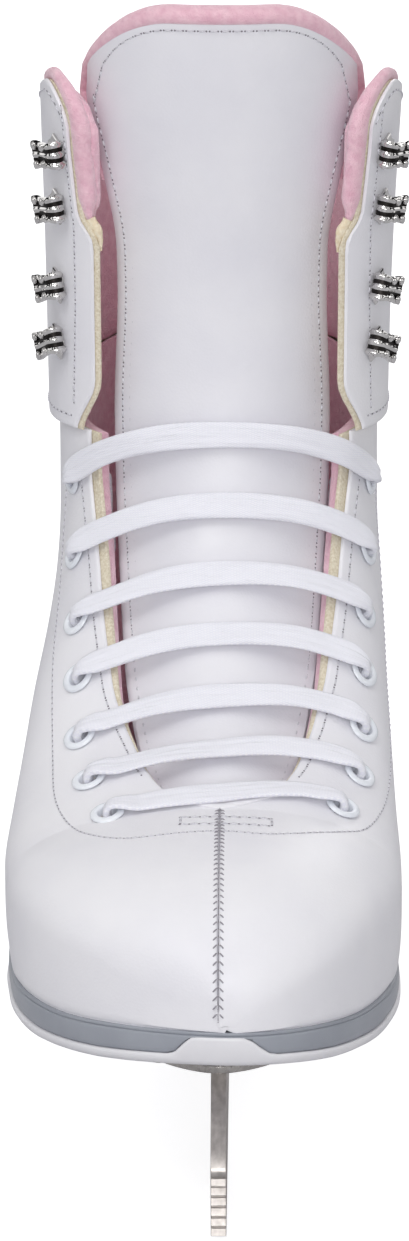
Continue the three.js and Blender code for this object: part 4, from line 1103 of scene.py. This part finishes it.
def add_tongue_roll():
    """The plush roll up both edges of the tongue and over its top, thin and tucked in at its ends."""
    side, *net = tongue_net(240, TONGUE_TOP, 0.0, 30, 30)
    side = np.broadcast_to(side, net[0].shape)
    side, s, b, face = (np.concatenate([v[5:, 0], v[-1, 1:-1], v[:4:-1, -1]]) for v in (side, *net))
    path, out = resampled(boot(side, s, b, face - 1.9), 1.3, normal(side, s, b))
    share = np.abs(np.linspace(-1, 1, len(path)))
    ending = 0.85 * smooth((share - 0.8) / 0.2)
    half = lerp(2.4, 0.9, smooth((share - 0.25) / 0.6)) * (1 - ending)
    outward = unit(np.cross(unit(np.gradient(path, axis=0)), out))
    outward *= np.sign(outward[len(path) // 2, 2])
    path = path - outward * (half + 1.3 * ending)[:, None]
    roll = sweep(path, outward, np.stack([half, lerp(2.9, 1.6, share**2)], -1), circle(14, 0.9))
    add_piece("tongue_roll", [roll], PINK_PLUSH, body="tongue", sharp=80)


# ---------------------------------------------------------------- stitching
STITCH_GRID = 0.25  # stitches begin and end on steps of this length
THREAD_RADIUS = 0.24
THREAD_LIFT = 0.03
BACK_ROW = 0.972  # b of the rows beside the back seam
NOSE_STRETCH = 6  # how much longer one unit of s is in front of the ball than behind it
ROUND_STRETCH = 8  # and one unit of b
STITCH_SHAPE = np.array([  # share of its length, thickness, lift
    [0, 0.35, -0.2], [0.14, 0.85, 0.05], [0.5, 1, 0.16], [0.86, 0.85, 0.05], [1, 0.35, -0.2],
])
# The seam round the facings, as (s, b) down one side and across the toe.
FACING_SEAM = {
    LATERAL: ((7.2, 0.4), (6.3, 0.41), (5.1, 0.385), (3.2, 0.335), (0.9, 0.27), (0.2, 0.24), (-0.08, 0.205),
              (-0.165, 0.14), (-0.16, 0)),
    MEDIAL: ((7.3, 0.43), (6.3, 0.44), (5.1, 0.455), (3.8, 0.45), (2.6, 0.43), (1.1, 0.345), (0.2, 0.275),
             (-0.08, 0.19), (-0.165, 0.08), (-0.16, 0)),
}
BAR_TACK = ((-0.062, -0.112), (-9.7, 13.0))  # its rows as s, and its ends from the middle
FLAP_STITCH = ((186, 36.3), (210, 35.7), (230, 35.9), (240, 37.0), (262, 38.9))


def stitch(starts, ends, out, thread=THREAD_RADIUS, holes=True):
    """Threads pulled down at both ends, with a grey disc at each end painted as the shade in its needle hole.
    """
    tangent = unit(ends - starts)
    beside = np.cross(tangent, out)
    rings = []
    for share, size, lift in STITCH_SHAPE:
        centre = lerp(starts, ends, share) + out * lift
        x, y = (circle(6) * thread * size).T[..., None, None]
        rings.append(centre + beside * x + out * y)
    rings = np.moveaxis(np.array(rings), 2, 0)
    one = loft(rings[0])[1]
    count = rings[0, ..., 0].size
    faces = [[k + count * i for k in face] for i in range(len(starts)) for face in one]
    parts = [(rings.reshape(-1, 3), faces)]
    # Grey discs just above the surface, painted as the shade in the needle holes.
    if holes:
        corners = 7
        disc = np.concatenate([[[0.0, 0.0]], circle(corners)]) * (thread * 1.1)
        spots = np.concatenate([starts - tangent * 0.22, ends + tangent * 0.22])
        up, aside, ahead = (np.concatenate([v, v]) for v in (out, beside, tangent))
        dots = (spots + up * 0.07)[:, None] + aside[:, None] * disc[:, 0:1] + ahead[:, None] * disc[:, 1:2]
        middles = np.arange(len(spots)) * (corners + 1)
        fans = [[m, m + 1 + k, m + 1 + (k + 1) % corners] for m in middles.tolist() for k in range(corners)]
        parts.append((dots.reshape(-1, 3), fans))
    return parts


def run_of_stitches(path, out, pitch, gap, thread=THREAD_RADIUS, holes=True):
    path, out = resampled(path, STITCH_GRID, out)
    step = max(1, round(pitch / STITCH_GRID))
    reach = max(1, round((pitch - gap) / STITCH_GRID))
    starts = np.arange(0, len(path) - reach, step)
    return stitch(path[starts], path[starts + reach], unit(out[starts + reach // 2]), thread, holes)


def add_stitches(name, runs, body="boot", thread=THREAD):
    parts = [part for run in runs for part in run]
    materials = [material for run in runs for material in (thread, NEEDLE_HOLE_SHADE)[: len(run)]]
    add_piece(name, parts, materials, body, sharp=80)


def on_boot(side, s, b, depth=0.0):
    points, out = boot(side, s, b, depth), normal(side, s, b)
    points[..., 0] += side * SEAM
    return points, out


def sewn(side, s, b, depth, *kind):
    """A run of stitches along a line on the boot."""
    return run_of_stitches(*on_boot(side, s, b, depth + THREAD_LIFT), *kind)


def add_foot_stitching():
    runs = []
    for side, _ in SIDES:
        stretched = [(s if s > 0 else NOSE_STRETCH * s, ROUND_STRETCH * b, 0) for s, b in FACING_SEAM[side]]
        s, b, _ = spline(np.array(stretched), 10).T
        runs.append(sewn(side, np.where(s > 0, s, s / NOSE_STRETCH), b / ROUND_STRETCH, 0, 2.1, 0.7, 0.21))
        s = np.linspace(0.95, 7.2, 240)
        b = opening(side, s, lambda height: skin_inset(height) + 2.2)
        runs.append(sewn(side, s, b, 0, 2.9, 1.1))
    add_stitches("facing_stitches", runs)

    runs = []
    (back, front), (left, right) = BAR_TACK
    for x, s, pitch in (
        (np.linspace(left + 0.1, right - 0.2, 60), np.full(60, back), 2.4),
        (np.linspace(left, right, 60), np.full(60, front), 2.4),
        (np.full(12, left), np.linspace(back, front, 12), 2.3),
        (np.full(12, right), np.linspace(back, front, 12), 2.3),
    ):
        side, b = from_middle(x, s)
        runs.append(sewn(side, s, b, 0, pitch, 0.35, 0.3))
    add_stitches("bar_tack", runs)
    add_toe_seam()


def add_toe_seam():
    """Chevrons of thread down the toe, over a straight seam."""
    ridge = boot(MEDIAL, np.linspace(THROAT_STATION - 0.01, -0.965, 400), 0.0)
    ridge = resampled(ridge, 2.2)[0]
    down = unit(np.gradient(ridge, axis=0))
    out = unit(np.cross(down, (1.0, 0, 0)))
    out *= np.where(out[:, 2:3] + 0.2 * -out[:, 1:2] < 0, -1, 1)
    near = ridge - out * 0.05
    far = near + down * 1.15
    runs = []
    for side, _ in SIDES:
        aside = np.array([side, 0, 0.0])
        runs.append(stitch(near + aside * 0.3, far + aside * 1.35, out, 0.2, holes=False))
    runs.append(stitch(ridge + down * 0.2, ridge + down * 1.9, out, 0.12))
    add_stitches("toe_seam_stitches", runs, thread=SEAM_THREAD)


def add_throat_binding():
    """The folded edge round the throat of the vamp."""
    x = np.linspace(-15.5, 16.5, 70)
    s = THROAT_STATION + np.sqrt(x**2 + 1.5) / 30 - 0.075
    side, b = from_middle(x, s)
    path, out = on_boot(side, s, b, 0.12)
    path, out = resampled(path, 0.8, out)
    tangent = unit(np.gradient(path, axis=0))
    ends = 0.3 + 0.7 * smooth((1 - np.abs(np.linspace(-1, 1, len(path)))) / 0.12)
    band = sweep(path, np.cross(tangent, out), np.stack([1.15 * ends, 0.42 * ends], -1), circle(10, 0.8))
    add_piece("throat_binding", [band], WHITE_VINYL, sharp=80)


def add_shaft_stitching():
    for side, word in SIDES:
        runs = []
        height = np.linspace(187, 262, 300)
        s = ridge_station(height)
        runs.append(sewn(side, s, at_width(side, s, along(FLAP_STITCH, height)), SHAFT_FACE, 3.2, 1.5))
        s, b = shaft_net(side, flap_edge(side, 0.8), CUFF_BOTTOM, 4.0, 8, 60)
        runs.append(sewn(side, s[-1, 4:-1], b[-1, 4:-1], SHAFT_FACE, 3.0, 1.0))
        s, b = shaft_net(side, flap_edge(side, 3.5), tuple((y, z + 3.2) for y, z in CUFF_BOTTOM), 1.0, 8, 60)
        runs.append(sewn(side, s[0, 1:-1], b[0, 1:-1], SHAFT_FACE, 3.0, 1.0))
        add_stitches(f"shaft_stitches_{word}", runs, with_flap())


def add_back_stitching():
    """A row down each side of the back seam, on the shaft and on the foot."""
    runs = []
    for side, _ in SIDES:
        for s, face in (
            (np.linspace(7.9, 15.6, 300), SHAFT_FACE),
            (np.linspace(HEEL_STATION + 0.2, 11.4, 200), 0),
        ):
            path, out = on_boot(side, s, np.full(len(s), BACK_ROW), face + THREAD_LIFT)
            z = path[:, 2]
            keep = (z > 170) & (z < along(COLLAR_TOP, path[:, 1]) - 3) if face else z < 164
            runs.append(run_of_stitches(path[keep], out[keep], 3.0, 1.0))
    add_stitches("back_seam_stitches", runs)


def add_tongue_stitching():
    """Two rows down each edge; the outer one also runs along the top."""
    runs = []
    for inwards, rows in ((3.0, 121), (5.0, 79)):
        inset = TONGUE_SKIN_INSET + inwards
        side, s, b, face = tongue_net(103, TONGUE_SKIN_TOP, inset, 120, 12, TONGUE_SKIN_CORNER)
        for k in (0, -1):
            points, out = on_boot(side[k], s[:rows, k], b[:rows, k], face[:rows, k] + 0.05)
            runs.append(run_of_stitches(points, out, 3.0, 1.4))
        if rows == len(s):
            points = boot(side, s[-1], b[-1], face[-1] + 0.05) - (0, 0, 2.2)
            runs.append(run_of_stitches(points, normal(side, s[-1], b[-1]), 3.0, 1.2))
    add_stitches("tongue_stitches", runs, with_tongue)


# ---------------------------------------------------------------- lace hooks
HOOK_ROWS = (
    (193, {"lateral": 40, "medial": 36.8}),
    (209, {"lateral": 39.9, "medial": 37.6}),
    (231.5, {"lateral": 39.7, "medial": 38.5}),
    (247, {"lateral": 39.7, "medial": 39.2}),
)
HOOK_SHEET = 1.0


def ribbed(outside):
    """A strip's section with two ribs along its edges and a lower one between them. outside is the sign of
    the ribbed face."""
    width = np.linspace(-1, 1, 29)
    ribs = 1.3 * np.exp(-(((np.abs(width) - 0.78) / 0.2) ** 2)) + 0.9 * np.exp(-((width / 0.17) ** 2))
    face = np.column_stack([width, (0.55 + ribs) * np.sign(outside)])
    back = np.column_stack([width[::-4], np.full(8, -1.0 * np.sign(outside))])
    return np.concatenate([face, back])


def hook_parts(point, forward, out, across):
    """A speed hook: a pointed base plate, a ribbed hood folded back over it, its studs and a rivet, and dark
    strips in the hollows between its ribs, which are painted shade.
    """
    def placed(x, y, z):
        x, y, z = np.broadcast_arrays(x, y, z)
        return point + x[..., None] * forward + y[..., None] * out + z[..., None] * across

    right = np.array([(-3.9, 0), (-3.7, 2.7), (-1.9, 3.4), (0, 4.9), (1.9, 3.4), (3.6, 2.7), (3.9, 0)])
    x, z = np.concatenate([right, (right * (1, -1))[-2:0:-1]]).T
    levels = ((0.94, 0.15), (1.0, 0.35), (1.0, 0.85), (0.93, 1.05), (0.0, 1.05))
    foot = loft(np.array([placed(x * k, height, z * k) for k, height in levels]))

    turn = np.linspace(-np.pi / 2, np.pi / 2, 9)
    bend = np.column_stack([2.9 + 1.85 * np.cos(turn), 2.6 + 1.85 * np.sin(turn), 3.1 + 0.6 * np.cos(turn)])
    start = [(-2.6, 0.75, 1.9), (0, 0.75, 1.9), (1.8, 0.75, 2.6)]
    lip = [(1.6, 4.45, 3.3), (0.5, 4.45, 3.3), (-0.6, 4.45, 3.3), (-1.7, 4.5, 3.45), (-2.8, 4.75, 3.7),
           (-3.7, 5.35, 3.75)]
    x, y, half = np.concatenate([start, bend, lip]).T
    line = placed(x, y, 0.0)
    thick = frames(line, across)[1]
    outside = np.sign(thick[-1] @ out)
    hood = sweep(line, across, np.stack([half, np.full(len(half), HOOK_SHEET / 2)], -1), ribbed(outside))
    # Dark strips laid in the hollows between the ribs, painted as the shade there.
    groove_shade_strips = []
    for side in (-1, 1):
        bottom = line + thick * (0.36 * outside) + across * (side * 0.38 * half)[:, None]
        groove_shade_strips.append(sweep(bottom[len(start):], across, (0.62, 0.13), circle(8, 0.6)))

    dome = ((0.001, 1.35), (0.9, 1.25), (1.6, 0.9), (2.0, 0.4), (2.1, 0), (0.001, -0.05))
    dome = lathe(dome, 20, point + out, out)
    studs = [
        lathe(((0.001, 0.6), (0.65, 0.5), (1.05, 0.15), (1.1, -0.2), (0.001, -0.25)), 14,
              point + forward * x + across * z + out * (5.6 if x < 0 else 5.35), out)
        for x, z in ((-2.7, 2.45), (-2.7, -2.45), (1.4, 2.25), (1.4, -2.25))
    ]
    shank = lathe(((0.001, -2.6), (1.6, -2.6), (1.6, 0.6), (0.001, 0.6)), 16, point, out)
    return [foot, hood, dome, *studs, shank], groove_shade_strips


def add_hooks():
    for row, (height, widths) in enumerate(HOOK_ROWS):
        for side, word in SIDES:
            def b_of(s):
                return at_width(side, s, float(widths[word]))

            s = solve(lambda t: height - boot(side, t, b_of(t))[..., 2], 8.0, LAST_STATION)
            b = b_of(s)
            forward = unit(boot(side, s, b - 0.01) - boot(side, s, b))
            out = normal(side, s, b)
            across = unit(np.cross(forward, out))
            bright, painted_shade_parts = hook_parts(boot(side, s, b, SHAFT_FACE), forward, out, across)
            materials = [CHROME] * len(bright) + [CHROME_PAINTED_SHADE] * len(painted_shade_parts)
            name = f"hook_{word}_{row + 1}"
            add_piece(f"chrome_{name}", bright + painted_shade_parts, materials, body=f"flap_{word}",
                      replaces=(name,), sharp=35)


# ---------------------------------------------------------------- sole, footbed and heel
def sole_top(points):
    return along(SOLE_TOP, points[:, 1])


def sole_bottom(points):
    return along(SOLE_BOTTOM, points[:, 1])


def footprint(depth=0.0, lift=0.0, step=2.2):
    """The plan outline where the boot meets the sole, from the toe round the lateral side to the heel and
    back."""
    halves = []
    for side, _ in SIDES:
        s = np.concatenate([np.linspace(-0.985, -0.6, 60), np.linspace(-0.59, 7.9, 300)])
        b = at_sole(side, s, depth, lift)
        points = boot(side, s, b, depth)[:, :2]
        halves.append(points[(np.abs(points[:, 0]) > 0.4) & (b < 1)])
    loop = np.concatenate([halves[0], halves[1][::-1], halves[0][:1]])
    loop = resampled(loop, step)[0][:-1]
    for _ in range(3):
        loop = (np.roll(loop, 1, 0) + 2 * loop + np.roll(loop, -1, 0)) / 4
    return loop


def toe_wave(points):
    """The white sole rises in a low wave in front of the toe."""
    x = points[:, 0]
    hump = smooth((x + 12) / 6) * smooth((14 - x) / 8)
    return 4.6 * hump * smooth((-100 - points[:, 1]) / 12)


def add_sole():
    outline = footprint()

    def seam(up):
        return lambda points: sole_bottom(points) + 2.9 + toe_wave(points) + up

    def above_bottom(up):
        return lambda points: sole_bottom(points) + up

    def below_top(down):
        return lambda points: sole_top(points) - down

    def up_the_band(share):
        return lambda points: lerp(seam(0)(points), below_top(1.9)(points), share)

    band = plate(outline, (
        (-1.2, seam(0.0)), (0.1, seam(0.02)), (0.5, up_the_band(0.13)), (0.62, up_the_band(0.35)),
        (0.5, below_top(1.9)), (0.35, below_top(1.35)), (0.05, below_top(1.2)), (0.3, below_top(1.0)),
        (0.35, below_top(0.6)), (0.05, below_top(0.25)), (-1.0, below_top(0.2)),
    ))
    add_piece("midsole_band", [band], GREY_SOLE, replaces=("midsole",), sharp=60)
    lip = plate(outline, (
        (-1.4, above_bottom(0)), (-0.3, above_bottom(0.1)), (0.5, above_bottom(0.55)),
        (0.95, above_bottom(1.3)), (1.05, seam(-1.0)), (0.95, seam(-0.4)), (0.6, seam(-0.12)),
        (-1.4, seam(-0.1)),
    ))
    add_piece("outsole_lip", [lip], WHITE_SOLE, replaces=("outsole",), sharp=60)

    bed = plate(footprint(-7.2, 6.0, 3.0), (
        (-1.5, below_top(-2.6)), (0.0, below_top(-3.0)), (0.2, below_top(-4.0)), (-0.3, below_top(-5.1)),
        (-1.6, below_top(-5.75)), (-4.0, below_top(-5.95)),
    ))
    piece = add_piece("plush_footbed", [bed], PINK_PLUSH, replaces=("footbed",), sharp=60)


HEEL_TAPER = 4
HEEL_BOTTOM = 43.5


def heel_outline(shrink, count=40):
    share = np.linspace(0, 1, count)
    t = 1 - (1 - share) ** 1.6
    y = lerp(57 + 0.6 * shrink, 123 - shrink, t)
    half = (30 - shrink) * np.sqrt(np.maximum(0, 1 - np.clip((t - 0.3) / 0.7, 0, 1) ** 3))
    side = np.column_stack([half, y])
    return np.concatenate([side, (side * (-1, 1))[::-1][1:]])


def add_heel():
    """A stacked heel: three lifts, drawn in at each joint."""
    steps = ((0.0, 0.5), (0.04, 0.1), (0.3, 0), (0.325, 0.45), (0.35, 0), (0.63, 0), (0.655, 0.45), (0.68, 0),
             (0.96, 0.1), (1.0, 0.7))
    rings = []
    for share, groove in steps:
        ring = heel_outline(HEEL_TAPER * share + groove)
        rings.append(np.column_stack([ring, lerp(sole_bottom(ring) - 0.3, HEEL_BOTTOM, share)]))
    rings = [rings[0] * (0.0, 1, 1), *rings, rings[-1] * (0.0, 1, 1)]
    points, faces = loft(np.array(rings))
    add_piece("stacked_heel", [(points, faces[:-2])], GREY_SOLE, replaces=("heel",), sharp=45)


# ---------------------------------------------------------------- blade, plates and screws
RUNNER_THICKNESS = 3.9
ROCKER_RADIUS = 2134
RUNNER_FLAT = 6
TEETH = 6
TOOTH_DEPTH = 2.6
FOREFOOT_PLATE = (44.3, 46.5)
HEEL_PLATE = (41.3, 43.2)


def rocker(y):
    return max(0, abs(y) - RUNNER_FLAT) ** 2 / (2 * ROCKER_RADIUS)


def blade_profile():
    """The blade's outline as (y, z): running edge, heel stanchion, window, toe stanchion and toe pick."""
    line = [(y, rocker(y)) for y in np.linspace(-107, 126, 48)]

    def curve(control, end, count=12):
        start, control, end = np.array(line[-1]), np.array(control), np.array(end)
        for t in np.linspace(0, 1, count + 1)[1:]:
            line.append((1 - t) ** 2 * start + 2 * t * (1 - t) * control + t * t * end)

    top, front = HEEL_PLATE[0] - 0.3, FOREFOOT_PLATE[0] - 0.3
    curve((131, rocker(126) + 1), (131, 8))
    curve((131, 13), (124, 13.5))
    curve((108, 15), (110, 24))
    curve((111, 34), (119, top))
    line.append((59, top))
    curve((72, 34), (70, 23))
    curve((68, 15.5), (55, 15))
    line.append((-40, 15))
    curve((-56, 15.5), (-57, 25))
    curve((-57, 37), (-42, front))
    line.append((-101, front))
    curve((-104, 38), (-119.5, 25.5))
    curve((-122.5, 22.5), (-119, 21), 6)
    high, low = np.array((-119.5, 19)), np.array((-111.5, 1.2))
    for i in range(TEETH):
        tip, root = (lerp(high, low, k / (TEETH - 0.55)) for k in (i, i + 0.45))
        line.append(tip + (0.8 if i else 0, 0))
        line.append(root + (TOOTH_DEPTH, 0 if i < TEETH - 1 else 1.2))
    return np.array(line)


def bevelled(piece, width):
    """Broken edges that catch the light."""
    modify(piece, "BEVEL", width=width, segments=2, limit_method="ANGLE", angle_limit=math.radians(28),
           harden_normals=True)
    return baked(piece)


def add_blade():
    profile = blade_profile()
    half = RUNNER_THICKNESS / 2
    faces = np.array([np.column_stack([np.full(len(profile), x), profile]) for x in (-half, half)])
    piece = add_piece("ground_blade", [loft(faces)], STEEL, replaces=("blade",), sharp=30)
    bevelled(piece, 0.00022)


def plate_outline(start, end, half_width, count=40):
    y = lerp(start, end, (1 - np.cos(np.pi * np.linspace(0, 1, count))) / 2)
    side = np.column_stack([np.array([half_width(v) for v in y]), y])
    return np.concatenate([side, (side * (-1, 1))[::-1][1:-1]])


def front_half(y):
    if y < -78:
        return 24 * max(0, 1 - (max(0, -78 - y) / 30) ** 1.7) ** 0.6
    return float(lerp(24, 15, smooth((y + 78) / 34))) * math.sqrt(max(0, 1 - max(0, (y + 46) / 7) ** 2))


def heel_half(y):
    return 21 * math.sqrt(max(0, 1 - (abs(y - 89) / 33) ** 4))


def add_plates():
    for name, node, span, half, (low, high) in (
        ("forefoot_plate", "sole_plate", (-108, -39), front_half, FOREFOOT_PLATE),
        ("rear_plate", "heel_plate", (56, 122), heel_half, HEEL_PLATE),
    ):
        solid = plate(plate_outline(*span, half), (
            (-0.4, low), (-0.1, low + 0.12), (0, low + 0.4),
            (0, high - 0.4), (-0.1, high - 0.12), (-0.4, high),
        ))
        add_piece(name, [solid], PLATE_STEEL, replaces=(node,), sharp=50)


# ---------------------------------------------------------------- what stays from the CAD model
KEPT = {
    "aglet": TIP, "front_screw": PLATE_STEEL, "heel_screw": PLATE_STEEL, "shank": PLATE_STEEL,
    "insole_board": FIBREBOARD, "heel_counter": THERMOPLASTIC, "toe_puff": THERMOPLASTIC,
}


def finish_kept_nodes():
    for node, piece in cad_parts.items():
        for start, material in KEPT.items():
            if node.startswith(start):
                for place in piece.material_slots:
                    place.material = material


set_camera()
add_lace()
add_eyelets()
add_foot()
add_shaft()
add_tongue()
add_foot_stitching()
add_throat_binding()
add_shaft_stitching()
add_back_stitching()
add_tongue_stitching()
add_hooks()
add_sole()
add_heel()
add_blade()
add_plates()
finish_kept_nodes()
set_floor()
set_world()
set_lights()
